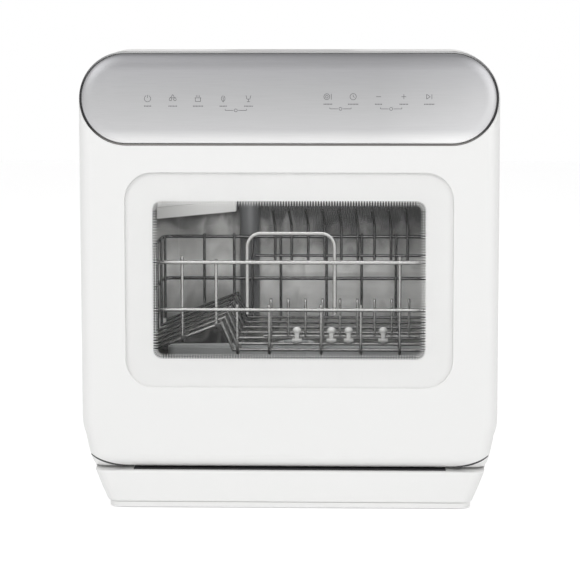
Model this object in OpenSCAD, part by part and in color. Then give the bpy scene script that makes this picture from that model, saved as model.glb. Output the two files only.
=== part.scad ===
/* [Body] */
// Overall width across the cabinet sides
body_w = 420; // [400:1:450]
// Overall depth, from the control panel to the ends of the hose spigots
body_d = 435; // [415:1:470]
// Overall height, from the worktop to the top of the cabinet
body_h = 463; // [445:1:490]
// Radius of the cabinet's two upper edges
body_corner_r = 50; // [46:1:54]
// Thickness of the painted sheet that wraps the cabinet
sheet_t = 2.4; // [1.6:0.1:2.8]
// Radius of the lower flanks, which tuck in towards the worktop
flank_r = 245; // [230:5:300]
// Height at which the flanks start to tuck in
flank_z = 116; // [110:1:120]
// Length of the hose spigots behind the cabinet
spigot_len = 15; // [13:1:20]

/* [Base] */
// Height of the skirt that the base stands on
skirt_h = 6.5; // [5:0.5:8]
// Distance of the skirt from the cabinet side
skirt_inset = 27; // [25:1:34]
// Wall of the moulded base tray
base_wall = 2.8; // [2.2:0.1:3.2]
// Height at which the wrapped sheet sits on the base tray
split_z = 112; // [108:1:114]
// Radius of the rubber feet
foot_r = 11; // [9:0.5:13]

/* [Door] */
// Thickness of the closed door
door_t = 38; // [36:1:39]
// Height of the door's lower edge above the worktop
door_z0 = 45; // [43:1:48]
// Corner radius of the door seen from the front
door_r = 48; // [46:1:50]
// Rounding of the door's front edge
door_edge_r = 12; // [10:0.5:13]
// Rounding of the door's back edge
door_back_r = 8; // [7:0.5:9]
// Wall of the moulded door shell
door_wall = 2.6; // [2.2:0.1:3]
// Air between the closed door and the cabinet front
door_gap = 6.5; // [6.2:0.1:8]
// Drop of the door's top edge below the cabinet top
door_drop = 2; // [1:0.5:3]
// Hinge axis behind the door face
hinge_in = 20; // [19:0.5:21]
// Hinge axis above the door's lower edge
hinge_up = 20; // [19:0.5:22]
// Radius of the hinge pins
hinge_pin_r = 4; // [3.5:0.1:4.5]
// Distance of the hinge plates from the cabinet side
hinge_inset = 40; // [38:1:44]

/* [Window] */
// Distance of the front glass from the door's sides
glass_side = 46; // [42:1:50]
// Distance of the front glass below the control panel
glass_drop = 27.2; // [25:0.2:32]
// Height of the glass above the door's lower edge
glass_up = 79.5; // [78:0.5:82]
// Corner radius of the front glass
glass_r = 28; // [24:1:32]
// Thickness of the front glass
glass_t = 4; // [3:0.5:5]
// Width of the printed border at both sides of the clear view
print_side = 29; // [26:1:34]
// Width of the printed border above and below the clear view
print_top = 31; // [30:1:34]
// Thickness of the inner pane
pane_t = 3; // [2.5:0.1:3.2]

/* [Control panel] */
// Distance of the control panel's trim ring from the door's sides
panel_side = 2; // [2:0.5:7]
// Height of the control panel with its trim ring
panel_h = 93; // [88:1:94]
// Distance of the panel's face in front of the door face
panel_proud = 4; // [3:0.5:5]
// Width of the trim ring round the panel
trim_w = 2.4; // [2:0.1:3]
// Rolled edge of the aluminium panel
panel_edge_r = 12; // [10:0.5:13]

/* [Tub] */
// Room between the tub and the cabinet side
side_room = 34; // [31:1:36]
// Room above the tub, which the water tank and the filler take
top_room = 91; // [89:1:95]
// Room behind the tub, which the drying fan takes
back_room = 62.2; // [56:0.2:64]
// Height of the tub floor above the worktop
tub_z0 = 104; // [103:0.5:105]
// Sheet thickness of the tub
tub_t = 1.2; // [1:0.1:1.5]
// Radius of the tub's long corners
tub_r = 28; // [24:1:32]

/* [Basket] */
// Air between the basket's side wires and the tub
basket_side = 16; // [15:0.5:19]
// Air between the basket's rear rails and the tub's back
basket_back = 25.8; // [25:0.2:34]
// Height of the upper rail
rail_z = 245.5; // [240:0.5:252]
// Height of the lower rail
low_rail_z = 196.5; // [192:0.5:202]
// Height of the lowest wires
basket_z0 = 150; // [150:0.5:152]
// Radius of the basket wires
wire_r = 1.6; // [1.4:0.1:1.8]
// Height of the front handle
handle_z = 275; // [266:1:276]
// Width of the front handle
handle_w = 89.8; // [84:0.2:94]

/* [Spray arm] */
// Air between the tip of the spray arm and the tub
arm_air = 11; // [10:1:30]
// Running clearance between the spray arm and its post
arm_clear = 0.08; // [0.05:0.01:0.1]

/* [Hidden] */

$fn = 72;
wire_fn = 18;                       // sides drawn on a round wire
seat = 0.3;                         // clearance between pieces that are set together
eps = 0.01;

// Places along the depth, measured back from the panel's face
door_f0 = panel_proud;
door_f1 = door_f0 + door_t;
hinge_f = door_f0 + hinge_in;
cab_f0 = door_f1 + door_gap;
cab_f1 = body_d - spigot_len;
frame_t = 3;
rear_t = 1.5;
rear_f0 = cab_f1 - 0.5 - rear_t;
tub_f0 = cab_f0 + frame_t + seat;
tub_f1 = cab_f1 - back_room;
tub_d = tub_f1 - tub_f0;
arm_f = (tub_f0 + tub_f1) / 2;      // axis of the spray arm

// Places across the width and over the height
body_hw = body_w / 2;
hinge_x = body_hw - hinge_inset;
hinge_z = door_z0 + hinge_up;
door_z1 = body_h - door_drop;
plinth_z1 = door_z0 - 5;
floor_z = skirt_h + base_wall;      // floor inside the base tray
panel_hw = body_hw - panel_side;
panel_z0 = door_z1 - panel_h - seat;
glass_hw = body_hw - glass_side;
glass_z0 = door_z0 + glass_up;
glass_z1 = panel_z0 - glass_drop;
view_hw = glass_hw - print_side;
view_z0 = glass_z0 + print_top;
view_z1 = glass_z1 - print_top;
view_r = 7;
tub_hw = body_hw - side_room;
tub_z1 = body_h - top_room;
tub_h = tub_z1 - tub_z0;
mouth_hw = tub_hw - 8;              // opening in the tub frame
mouth_z0 = tub_z0 + 4;
mouth_z1 = tub_z1 - 6;
mouth_r = 24;

// Basket
basket_hw = tub_hw - basket_side;
basket_f0 = tub_f0 + 2.2;
basket_f1 = tub_f1 - basket_back;
inside = 2 * wire_r + 0.45;         // step from a rail to the wires inside it
weld = 0.05;                        // daylight between wires that are welded together
rib_z = basket_z0 + 2 * wire_r + weld;
rib_n = 7;
rib_f0 = basket_f0 + 12;
rib_f1 = basket_f1 - 20;
rib_pitch = (rib_f1 - rib_f0) / (rib_n - 1);
glide_in = wire_r + seat + 8;       // from a rib to the middle of the glide beside it
ramp_x = -72;                       // top of the bowl ramp
ramp_rise = 28;                     // its height over the basket's floor
ramp_dip = 4;                       // how far its outer end lies below that floor
comb_f = rib_f0 + rib_pitch;        // folding comb stands over the second rib
comb_z = rib_z + 8.3;
comb_n = 9;
comb_x0 = -22.9;
comb_pitch = (basket_hw - 37.5 - comb_x0) / (comb_n - 1);
rail_f0 = tub_f0 + 5;
rail_flange_z = basket_z0 - 12;     // lower flange of the basket rails

// Sump, arm and pump
sump_x = 70;
sump_f = (tub_f0 + arm_f) / 2 - 6.5;
sump_r = 44;
sump_z0 = tub_z0 - tub_t - 31;
pump_z = 50;
post_r = 10;
blade_z = tub_z0 + 20;              // underside of the spray arm's blades
blade_h = 12;
arm_reach = min(tub_d / 2, tub_hw) - arm_air;

// Water tank and filler
tank_z0 = tub_z1 + tub_t + 7;
tank_h = body_h - sheet_t - 25 - tank_z0;
tank_x0 = -body_hw + 20;
tank_x1 = body_hw - 80;
tank_f0 = cab_f0 + 42;
tank_f1 = cab_f1 - 29.5;
fill_x = tank_x0 + 62;
fill_f = tank_f0 + 62;
fill_r = 38;
neck_r = 24;                        // neck of the funnel, through the tank's top
lid_t = 3;
lid_pin_r = 1;
knuckle_r = 2.4;
knuckle_f = fill_f + fill_r + 5;
knuckle_z = body_h - knuckle_r;

// Detergent dispenser, set into the dished part of the door liner
dish_f = door_f1 - 6;
dish_hw = tub_hw - 16;
dish_z0 = mouth_z0 + 4;
disp_lid_w = 56;
disp_x1 = dish_hw - 26;
disp_x0 = disp_x1 - 2 * disp_lid_w - 6;
disp_z0 = dish_z0 + 2;
disp_h = 30;
disp_travel = 54;

// ---------------------------------------------------------------- helpers

// Moves a piece from depths counted back from the panel's face to the part's own frame
module placed() { translate([0, -body_d / 2, 0]) children(); }

// Turns a front view into place: x stays, y becomes height, z becomes depth
module front_view() { placed() rotate([90, 0, 0]) mirror([0, 0, 1]) children(); }

// Plate with a front-view outline, between two depths
module plate(f0, f1) { front_view() translate([0, 0, f0]) linear_extrude(height = f1 - f0) children(); }

// Block between two corners, depths counted from the panel's face
module block(a, b) { placed() translate(a) cube(b - a); }

// Round bar with ends a and b
module rod(a, b, r) {
    d = b - a;
    translate(a) rotate([0, acos(d.z / norm(d)), atan2(d.y, d.x)]) cylinder(r = r, h = norm(d), $fn = wire_fn);
}

// Disc or boss on an axis that runs front to back
module boss(x, z, f0, f1, r) { placed() translate([x, f0, z]) rotate([-90, 0, 0]) cylinder(r = r, h = f1 - f0); }

// Disc or boss on an upright axis
module post(x, f, z0, z1, r) { placed() translate([x, f, z0]) cylinder(r = r, h = z1 - z0); }

// Disc or boss on an axis that runs left to right
module pin(x0, x1, f, z, r) { placed() translate([x0, f, z]) rotate([0, 90, 0]) cylinder(r = r, h = x1 - x0); }

// Rectangle with rounded corners
module rrect(x0, z0, x1, z1, r) {
    translate([x0 + r, z0]) square([x1 - x0 - 2 * r, z1 - z0]);
    translate([x0, z0 + r]) square([x1 - x0, z1 - z0 - 2 * r]);
    for (x = [x0 + r, x1 - r], z = [z0 + r, z1 - r]) translate([x, z]) circle(r = r);
}

// Pill shape with round ends
module stadium(hw, z0, z1) {
    r = (z1 - z0) / 2;
    translate([-hw + r, z0]) square([2 * (hw - r), z1 - z0]);
    for (s = [-1, 1]) translate([s * (hw - r), z0 + r]) circle(r = r);
}

knuckle_extra = 0.25;               // how far a pressed knuckle stands out from its wire
function unit(v) = v / norm(v);

// Quarter turn of round wire, at corner p, from direction d0 to direction d1
module elbow(p, d0, d1, bend_r, r) {
    n = cross(d0, d1);
    c = p - d0 * bend_r + d1 * bend_r;
    multmatrix([[-d1.x, d0.x, n.x, c.x], [-d1.y, d0.y, n.y, c.y], [-d1.z, d0.z, n.z, c.z]])
        rotate_extrude(angle = 90) translate([bend_r, 0]) circle(r = r, $fn = wire_fn);
}

// Wire, pipe or hose along corner points: square corners get a round bend, slanted ones a pressed knuckle
module wire(pts, r, bend_r) {
    n = len(pts) - 1;
    d = [for (i = [0:n - 1]) unit(pts[i + 1] - pts[i])];
    square = [for (i = [0:n]) i > 0 && i < n ? abs(d[i - 1] * d[i]) < eps : false];
    for (i = [0:n - 1])
        rod(pts[i] + d[i] * (square[i] ? bend_r : 0), pts[i + 1] - d[i] * (square[i + 1] ? bend_r : 0), r);
    for (i = [1:1:n - 1]) {
        if (square[i]) elbow(pts[i], d[i - 1], d[i], bend_r, r);
        else translate(pts[i]) sphere(r = r + knuckle_extra, $fn = wire_fn);
    }
}

// Sweeps a section round a rounded rectangle; the section's x is the distance from the corner's centre
module swept(x0, z0, x1, z1, r) {
    corners = [[x1 - r, z1 - r], [x0 + r, z1 - r], [x0 + r, z0 + r], [x1 - r, z0 + r]];
    runs = [z1 - z0 - 2 * r, x1 - x0 - 2 * r];
    for (k = [0:3]) translate(corners[k]) rotate([0, 0, 90 * k]) {
        rotate_extrude(angle = 90) children();
        if (runs[k % 2] > 0) rotate([90, 0, 0]) linear_extrude(height = runs[k % 2]) children();
    }
}

// Cabinet seen from the front, t inside its outer face: round shoulders, straight sides, tucked-in flanks
module body_outline(t) {
    r = body_corner_r;
    intersection() {
        union() {
            translate([-body_hw + t, 0]) square([body_w - 2 * t, body_h - r]);
            translate([-body_hw + r, 0]) square([body_w - 2 * r, body_h - t]);
            for (s = [-1, 1]) translate([s * (body_hw - r), body_h - r]) circle(r = r - t);
        }
        flank(-1, t);
        flank(1, t);
    }
}
module flank(side, t) {
    translate([side * (body_hw - flank_r), flank_z]) circle(r = flank_r - t, $fn = 240);
    translate([-body_hw, flank_z]) square([body_w, body_h]);
    translate([side > 0 ? -body_hw : 0, 0]) square([body_hw, body_h]);
}

// Band of the cabinet's outline between two heights
module body_band(t, z0, z1) {
    intersection() {
        body_outline(t);
        translate([-body_hw, z0]) square([body_w, z1 - z0]);
    }
}

module door_outline(t) { rrect(-body_hw + t, door_z0 + t, body_hw - t, door_z1 - t, door_r - t); }

module glass_outline(t) { rrect(-glass_hw + t, glass_z0 + t, glass_hw - t, glass_z1 - t, glass_r - t); }

// Opening around the clear view, t larger on every side
module view_outline(t) { rrect(-view_hw - t, view_z0 - t, view_hw + t, view_z1 + t, view_r + t); }

module mouth_outline(t) { rrect(-mouth_hw - t, mouth_z0 - t, mouth_hw + t, mouth_z1 + t, mouth_r + t); }

module panel_outline(t) { stadium(panel_hw - t, panel_z0 + t, panel_z0 + panel_h - t); }

// ---------------------------------------------------------------- cabinet

module cabinet_wrap() color("white") difference() {
    union() {
        plate(cab_f0, cab_f1) difference() {
            body_band(0, split_z + seat, body_h);
            body_outline(sheet_t);
        }
        // flange that takes the screws of the rear cover
        plate(rear_f0 - seat - 2, rear_f0 - seat) difference() {
            body_band(sheet_t - eps, split_z + 10, body_h);
            body_outline(22);
        }
    }
    for (p = screw_places) boss(p.x, p.y, rear_f0 - 4, rear_f0, screw_r + 0.1);
    // filler opening, with room behind it for the lid's hinge
    post(fill_x, fill_f, body_h - 20, body_h + 1, fill_r + 3.5);
    block([fill_x - 15, fill_f, body_h - 20], [fill_x + 15, knuckle_f + 5, body_h + 1]);
}

vent_n = 15;
vent_pitch = 11;
vent_w = 5;
cool_x = -10;                       // first cooling louvre, and its two rows
cool_h = 24;
cool_z = [24, 58];
module rear_cover() color("lightgrey") difference() {
    plate(rear_f0, rear_f0 + rear_t) body_band(max(sheet_t, base_wall) + seat, floor_z + seat, body_h);
    // exhaust louvres behind the drying fan
    for (i = [0:vent_n - 1])
        louvre(fan_x - 40 + vent_pitch * i, fan_z - 30, fan_z + 30);
    // cooling louvres over the pumps
    for (i = [0:vent_n - 1], z = cool_z)
        louvre(cool_x + vent_pitch * i, z, z + cool_h);
    boss(inlet_x, inlet_z, rear_f0 - 1, cab_f1, inlet_r + 1.5);
    boss(drain_x, drain_z, rear_f0 - 1, cab_f1, drain_r + 1.5);
    boss(gland_x, gland_z, rear_f0 - 1, cab_f1, gland_r + seat);
    for (p = screw_places) boss(p.x, p.y, rear_f0 - 1, cab_f1, screw_r + 0.1);
}

module louvre(x, z0, z1) block([x, rear_f0 - 1, z0], [x + vent_w, cab_f1, z1]);

inlet_x = body_hw - 45;
inlet_z = body_h - 63;
inlet_r = 13.2;
drain_x = body_hw - 60;
drain_z = 130;
drain_r = 9;
spigot_f0 = cab_f1 + 1;             // the spigots' full width starts here
gland_x = -body_hw + 60;
gland_z = 66;
gland_r = 10;
screw_r = 1.9;
side_screw_z = [split_z + 28, body_h - 133];
low_screw = [body_hw - 40, 22];
screw_places = concat(
    [for (s = [-1, 1], z = concat(side_screw_z, [side_screw_z * [0.5, 0.5]])) [s * (body_hw - 14), z]],
    [for (s = [-1, 0, 1]) [s * (body_hw - 90), body_h - 12]],
    [for (s = [-1, 1]) [s * low_screw.x, low_screw.y]]);

module rear_screws() color("silver") for (p = screw_places) {
    difference() {
        boss(p.x, p.y, rear_f0 + rear_t, rear_f0 + rear_t + 2, 4);
        for (a = [0, 90]) front_view() translate([p.x, p.y, rear_f0 + rear_t + 1])
            rotate([0, 0, a]) translate([-2.2, -0.4, 0]) cube([4.4, 0.8, 2]);
    }
    boss(p.x, p.y, rear_f0 - 8, rear_f0 + rear_t + eps, screw_r);
}

// Moulded tray that carries tub, pumps and hinges
module base_tray() color("white") difference() {
    union() {
        difference() {
            plate(cab_f0, cab_f1) body_band(0, skirt_h, split_z);
            plate(cab_f0 + base_wall, cab_f1 + 1) body_band(base_wall, floor_z, split_z + 1);
        }
        // rebate that the wrapped sheet sits over
        plate(cab_f0 + 14, cab_f1 - 3) difference() {
            body_band(sheet_t + seat, split_z - 10, split_z + 9);
            body_outline(sheet_t + seat + 2);
        }
        // ribs under the pumps
        for (x = [-120, -60, 0, 60, 120])
            block([x - 1, cab_f0 + 20, floor_z - eps], [x + 1, cab_f1 - 6, floor_z + 3]);
        // blocks that take the lowest screws of the rear cover
        for (s = [-1, 1])
            block([s * low_screw.x - 6, rear_f0 - 12, floor_z - eps],
                  [s * low_screw.x + 6, rear_f0 - seat, low_screw.y + 6]);
        // guide of the overflow float
        post(float_x, float_f, skirt_h + 1, float_z1 + 12, float_pin_r);
        post(float_x, float_f, skirt_h + 1, floor_z + 2, float_pin_r + 4);
    }
    for (s = [-1, 1]) boss(s * low_screw.x, low_screw.y, rear_f0 - 10, rear_f0, screw_r + 0.1);
    // clear of the tub frame above, of the hinge plates and of the door's swing
    block([-body_hw, cab_f0 - 1, frame_z0 - seat], [body_hw, cab_f0 + frame_t + 6, split_z + 1]);
    for (s = [-1, 1])
        block([s * hinge_x - 2.6, cab_f0 - 1, hinge_z - 7.6], [s * hinge_x + 2.6, cab_f0 + 4, hinge_z + 7.6]);
}
frame_z0 = mouth_z0 - 13;           // lower edge of the tub frame

module base_skirt() color("gainsboro") placed() translate([0, 0, 1.5]) {
    hw = body_hw - skirt_inset;
    difference() {
        linear_extrude(height = skirt_h - 1.5) rrect(-hw, door_f0 + 4, hw, cab_f1 - 6, foot_r + 1);
        translate([0, 0, -1]) linear_extrude(height = skirt_h) rrect(-hw + 24, door_f0 + 50, hw - 24, cab_f1 - 30, 6);
        for (p = foot_places) translate([p.x, p.y, -1]) cylinder(r = foot_r + seat, h = 3.6);
    }
}
foot_places = [for (s = [-1, 1], f = [door_f0 + 38, cab_f1 - 18]) [s * (body_hw - skirt_inset - 12), f]];

module rubber_feet() color("dimgray") for (p = foot_places) difference() {
    post(p.x, p.y, 0, 4.1, foot_r);
    for (r = [3.2, 6.4]) difference() {
        post(p.x, p.y, -1, 0.8, r + 1);
        post(p.x, p.y, -2, 1, r);
    }
}

// Front of the base; at both ends its back edge rises along the door's round corners
module plinth() color("white") difference() {
    union() {
        plate(door_f0 + 1.5, cab_f0 - seat) body_band(0, skirt_h + 0.4, plinth_z1);
        plate(hinge_f + 18, cab_f0 - seat) difference() {
            body_band(0, skirt_h + 0.4, door_z0 + 13);
            rrect(-body_hw - 5, plinth_z1 - eps, body_hw + 5, door_z1, door_r + 5);
        }
    }
    plate(door_f0 + 4.3, cab_f0 + 1) body_band(2.6, skirt_h + 3, plinth_z1 - 2.6);
}

// Frame round the mouth of the tub
module tub_frame() color("whitesmoke") difference() {
    union() {
        plate(cab_f0, cab_f0 + frame_t) difference() {
            body_band(sheet_t + seat, frame_z0, body_h);
            mouth_outline(0);
        }
        // stiffening lip inside the mouth
        plate(cab_f0 + frame_t - eps, cab_f0 + frame_t + seat + 3) difference() {
            mouth_outline(1.6);
            mouth_outline(0);
        }
        // rim that stiffens the edge under the wrap
        plate(cab_f0 + frame_t - eps, cab_f0 + frame_t + 7) difference() {
            body_band(sheet_t + seat, split_z + 11, body_h);
            body_outline(sheet_t + seat + 2);
        }
    }
    block([-16, cab_f0 - 1, strike_z - 6], [16, cab_f0 + frame_t + 1, strike_z + 8]);
}

// Bulb seal that the door closes against
module door_gasket() color("dimgray") {
    bulb_r = (door_gap - 1 - seat) / 2;
    front_view() swept(-mouth_hw - 9, mouth_z0 - 9, mouth_hw + 9, mouth_z1 + 9, mouth_r + 9) union() {
        translate([mouth_r + 2, cab_f0 - 2]) square([7, 2 - eps]);
        translate([mouth_r + 5.5, cab_f0 - bulb_r - eps]) circle(r = bulb_r, $fn = 32);
    }
}

// Pressed stainless tub, open to the front
module tub() color("silver") difference() {
    union() {
        plate(tub_f0, tub_f1 + tub_t) rrect(-tub_hw - tub_t, tub_z0 - tub_t, tub_hw + tub_t, tub_z1 + tub_t, tub_r + tub_t);
        plate(tub_f0, tub_f0 + 1.4) rrect(-tub_hw - 9, tub_z0 - 8, tub_hw + 9, tub_z1 + 9, tub_r + 9);
        // cushion pressed out of the back panel
        plate(tub_f1, tub_f1 + tub_t + 3) rrect(-tub_hw + 30, tub_z0 + 40, tub_hw - 30, tub_z1 - 24, 18);
    }
    plate(tub_f0 - 1, tub_f1) rrect(-tub_hw, tub_z0, tub_hw, tub_z1, tub_r);
    plate(tub_f1 - 1, tub_f1 + 3) rrect(-tub_hw + 31.2, tub_z0 + 41.2, tub_hw - 31.2, tub_z1 - 25.2, 16.8);
    post(sump_x, sump_f, tub_z0 - 5, tub_z0 + 1, sump_r - 2);
    post(0, arm_f, tub_z0 - 5, tub_z0 + 1, post_r + 0.2);
    boss(fan_x, fan_z, tub_f1 - 1, tub_f1 + 9, 20);
}

// Channels on both tub sides; the basket's glides run in them
module basket_rails() color("whitesmoke") for (s = [-1, 1]) {
    x0 = basket_hw + 3.5;
    x1 = tub_hw - seat;
    mirror([s > 0 ? 0 : 1, 0, 0]) {
        difference() {
            block([x0, rail_f0, rail_flange_z], [x1, basket_f1 - 4, rail_flange_z + 16]);
            block([x0 - 1, rail_f0 - 1, rail_flange_z + 2], [x1 - 2, basket_f1 - 8, rail_flange_z + 14]);
        }
        // studs through the tub side
        for (f = [rail_f0 + 40, basket_f1 - 50]) pin(x1 - eps, x1 + seat, f, rail_flange_z + 8, 3);
    }
}

// Pipe up the tub's back and along its ceiling, with the upper spray head
riser_x = -60;
riser_z0 = rail_flange_z + 8;
module riser_duct() color("darkgrey") {
    placed() difference() {
        union() {
            translate([riser_x, tub_f1 - 8.4, riser_z0]) cylinder(r = 11.6, h = tub_z1 - riser_z0 - seat);
            translate([riser_x, tub_f1 - 8, tub_z1 - 12.3]) rotate([90, 0, 0]) cylinder(r = 11.6, h = tub_f1 - 8 - arm_f);
            translate([riser_x, arm_f, tub_z1 - 24]) cylinder(r = 15, h = 24 - seat);
        }
        translate([riser_x - 20, tub_f1 - seat, riser_z0 - 1]) cube([40, 20, tub_h]);
        translate([riser_x - 20, arm_f - 20, tub_z1 - seat]) cube([40, tub_f1 - arm_f + 20, 20]);
        // spray holes of the head
        for (a = [0:60:300]) translate([riser_x, arm_f, tub_z1 - 25]) rotate([0, 0, a]) translate([9, 0, 0]) cylinder(r = 1.2, h = 6, $fn = 16);
    }
}

// Moulded hood that spreads the drying air, high in the rear left corner
hood_x0 = -tub_hw + 8;
hood_x1 = riser_x - 15.5;
hood_z0 = tub_z1 - 106.6;
hood_h = 50;
lip_h = 13;                         // its lip stands forward over the outlet slots
fan_x = hood_x0 + 48;
fan_z = hood_z0 + 28;
module drying_hood() color("lightgrey") difference() {
    union() {
        plate(tub_f1 - 20, tub_f1 - seat) hood_outline(0, lip_h);
        plate(tub_f1 - 13, tub_f1 - seat) hood_outline(0, hood_h);
    }
    plate(tub_f1 - 17.6, tub_f1) hood_outline(2.4, lip_h);
    plate(tub_f1 - 10.6, tub_f1) hood_outline(2.4, hood_h);
    for (i = [0:8]) block([hood_x0 + 10 + 10 * i, tub_f1 - 16, hood_z0 - 1], [hood_x0 + 15 + 10 * i, tub_f1 - 4, hood_z0 + 14]);
}
module hood_outline(t, h) polygon([
    [hood_x0 + t, hood_z0 + t], [hood_x1 - t, hood_z0 + 9 + t],
    [hood_x1 - t, hood_z0 + 9 + h - t], [hood_x0 + t, hood_z0 + h - t]]);

fan_f0 = tub_f1 + tub_t + 3 + seat;
fan_d = 24;
module fan_housing() color("dimgray") {
    difference() {
        plate(fan_f0, fan_f0 + fan_d) rrect(fan_x - 33, fan_z - 33, fan_x + 33, fan_z + 33, 5);
        boss(fan_x, fan_z, fan_f0 - 1, fan_f0 + fan_d + 1, 29);
        for (x = [-26.5, 26.5], z = [-26.5, 26.5]) boss(fan_x + x, fan_z + z, fan_f0 - 1, fan_f0 + fan_d + 1, 2.2);
    }
    // motor disc on three arms, with the rotor's shaft
    plate(fan_f0 + fan_d - 4.5, fan_f0 + fan_d - 0.5) translate([fan_x, fan_z]) {
        circle(r = 12);
        for (a = [0, 120, 240]) rotate([0, 0, a]) translate([8, -2]) square([22.5, 4]);
    }
    boss(fan_x, fan_z, fan_f0 + 4, fan_f0 + fan_d - 4, 2);
}

fan_blades = 7;
module fan_rotor() color("black") difference() {
    union() {
        boss(fan_x, fan_z, fan_f0 + 2, fan_f0 + fan_d - 5.5, 11);
        for (i = [0:fan_blades - 1]) front_view() translate([fan_x, fan_z, fan_f0 + 10.5])
            rotate([0, 0, i * 360 / fan_blades]) translate([9, 0, 0]) rotate([38, 0, 0]) translate([0, -8, -0.8]) cube([18, 16, 1.6]);
    }
    boss(fan_x, fan_z, fan_f0, fan_f0 + fan_d - 4, 2.06);
}

// ---------------------------------------------------------------- water path

module sump() color("dimgray") placed() translate([sump_x, sump_f, sump_z0]) difference() {
    union() {
        cylinder(r = sump_r, h = tub_z0 - tub_t - sump_z0 - 4);
        translate([0, 0, tub_z0 - tub_t - sump_z0 - 4]) cylinder(r = sump_r + 9, h = 4 - eps);
        // outlets to the wash pump and to the drain pump
        translate([0, sump_r - 3, 12]) rotate([-90, 0, 0]) cylinder(r = 10, h = 14);
        translate([sump_r - 3, 0, 14]) rotate([0, 90, 0]) cylinder(r = 8, h = 12);
    }
    translate([0, 0, 2.5]) cylinder(r = sump_r - 2.5, h = 60);
    for (a = heater_ends) rotate([0, 0, a]) translate([heater_ring_r, 0, -1]) cylinder(r = heater_r + 0.1, h = 5);
    translate([0, sump_r - 8, 12]) rotate([-90, 0, 0]) cylinder(r = 7.5, h = 40);
    translate([sump_r - 8, 0, 14]) rotate([0, 90, 0]) cylinder(r = 5.5, h = 40);
}

cup_r = 20;
module filter_plate() color("silver") placed() translate([sump_x, sump_f, tub_z0 + eps]) difference() {
    cylinder(r = sump_r + 6, h = 1.4);
    translate([0, 0, -1]) cylinder(r = cup_r + 0.6, h = 4);
    for (ring = [0:2], i = [0:23 + 6 * ring])
        rotate([0, 0, i * 360 / (24 + 6 * ring)]) translate([26 + 6 * ring, 0, -1]) cylinder(r = 1.5, h = 4, $fn = 16);
}

// Twist-out fine filter with a handle across its top
module filter_cup() color("gray") placed() translate([sump_x, sump_f, sump_z0 + 6]) difference() {
    union() {
        cylinder(r = cup_r, h = tub_z0 - sump_z0 - 1);
        translate([0, 0, tub_z0 - sump_z0 - 4.2]) cylinder(r = cup_r + 4, h = 3.4);
        translate([-3, -cup_r, tub_z0 - sump_z0 - 1.2]) cube([6, 2 * cup_r, 10]);
    }
    translate([0, 0, 2]) cylinder(r = cup_r - 2, h = tub_z0 - sump_z0 - 7);
    for (a = [0:30:330]) rotate([0, 0, a]) translate([10, -1.5, 4]) cube([20, 3, 17]);
}

// Heating ring in the sump, on two stems that leave through its floor
heater_r = 3.2;
heater_ring_r = 31;
heater_ends = [200, 160];
module sump_heater() color("slategray") placed() translate([sump_x, sump_f, sump_z0 + 16]) {
    rotate([0, 0, heater_ends[0]]) rotate_extrude(angle = 320) translate([heater_ring_r, 0]) circle(r = heater_r, $fn = 24);
    for (a = heater_ends) rotate([0, 0, a]) translate([heater_ring_r, 0, -24]) cylinder(r = heater_r, h = 24, $fn = 24);
}

module wash_pump() color("dimgray") {
    pin(-18, 16, arm_f, pump_z, 36);
    difference() {
        pin(-112, -18, arm_f, pump_z, 29);
        for (i = [0:9]) pin(-104 + 8 * i, -101 + 8 * i, arm_f, pump_z, 40);
    }
    pin(-112, -18, arm_f, pump_z, 26.5);
    // eye of the pump, and outlet to the arm post
    pin(16, 26, arm_f, pump_z, 10);
    post(0, arm_f, pump_z + 30, tub_z0 - tub_t - 4, 9);
    // cradle legs down to the tray
    for (x = [-100, -30]) block([x, arm_f - 22, floor_z + eps], [x + 8, arm_f + 22, pump_z - 18]);
}

module sump_hose() color("black") placed() wire([
    [26 + eps, arm_f, pump_z], [sump_x, arm_f, pump_z], [sump_x, arm_f, sump_z0 + 12],
    [sump_x, sump_f + sump_r + 11 + eps, sump_z0 + 12]], 12, 15);

module arm_post() color("dimgray") {
    post(0, arm_f, tub_z0 + eps, tub_z0 + 4, 22);
    post(0, arm_f, tub_z0 - tub_t - 4 + eps, blade_z + blade_h + 5, post_r);
    post(0, arm_f, blade_z + blade_h + 5 - eps, blade_z + blade_h + 8, post_r + 3.5);
}

module spray_arm() color("gray") placed() translate([0, arm_f, 0]) difference() {
    union() {
        translate([0, 0, blade_z - 2]) cylinder(r = 20, h = blade_h + 6.5);
        for (a = [0, 180]) rotate([0, 0, a]) translate([0, 0, blade_z]) {
            linear_extrude(height = blade_h) blade_outline(0);
            translate([0, 0, -1.6]) linear_extrude(height = blade_h + 3.2) blade_outline(4.5);
        }
    }
    translate([0, 0, blade_z - 3]) cylinder(r = post_r + arm_clear, h = blade_h + 20);
    for (a = [0, 180], i = [0:4]) rotate([0, 0, a]) translate([34 + 22 * i, 3 - i, blade_z + 6]) cylinder(r = 1.6, h = 20, $fn = 16);
}
// One blade of the arm, swept forwards, with a round tip
module blade_outline(t) {
    tip = 9 - t / 2;
    polygon([[8, -17 + t], [arm_reach - 9, 2 - tip], [arm_reach - 9, 2 + tip], [8, 17 - t]]);
    translate([arm_reach - 9, 2]) circle(r = tip);
}

drain_px = sump_x + sump_r + 9;
drain_pz = sump_z0 + 14;
module drain_pump() color("gray") {
    pin(drain_px + eps, drain_x + 10, sump_f, drain_pz, 15);
    pin(drain_x + 10 - eps, drain_x + 34, sump_f, drain_pz, 13);
    boss(drain_x, drain_pz - 10, sump_f + 10, sump_f + 34, 7);
}

module drain_hose() color("black") placed() wire([
    [drain_x, sump_f + 34 + eps, drain_pz - 10], [drain_x, rear_f0 - 30, drain_pz - 10],
    [drain_x, rear_f0 - 30, drain_z], [drain_x, rear_f0 - 14 - eps, drain_z]], 8.5, 12);

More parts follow.
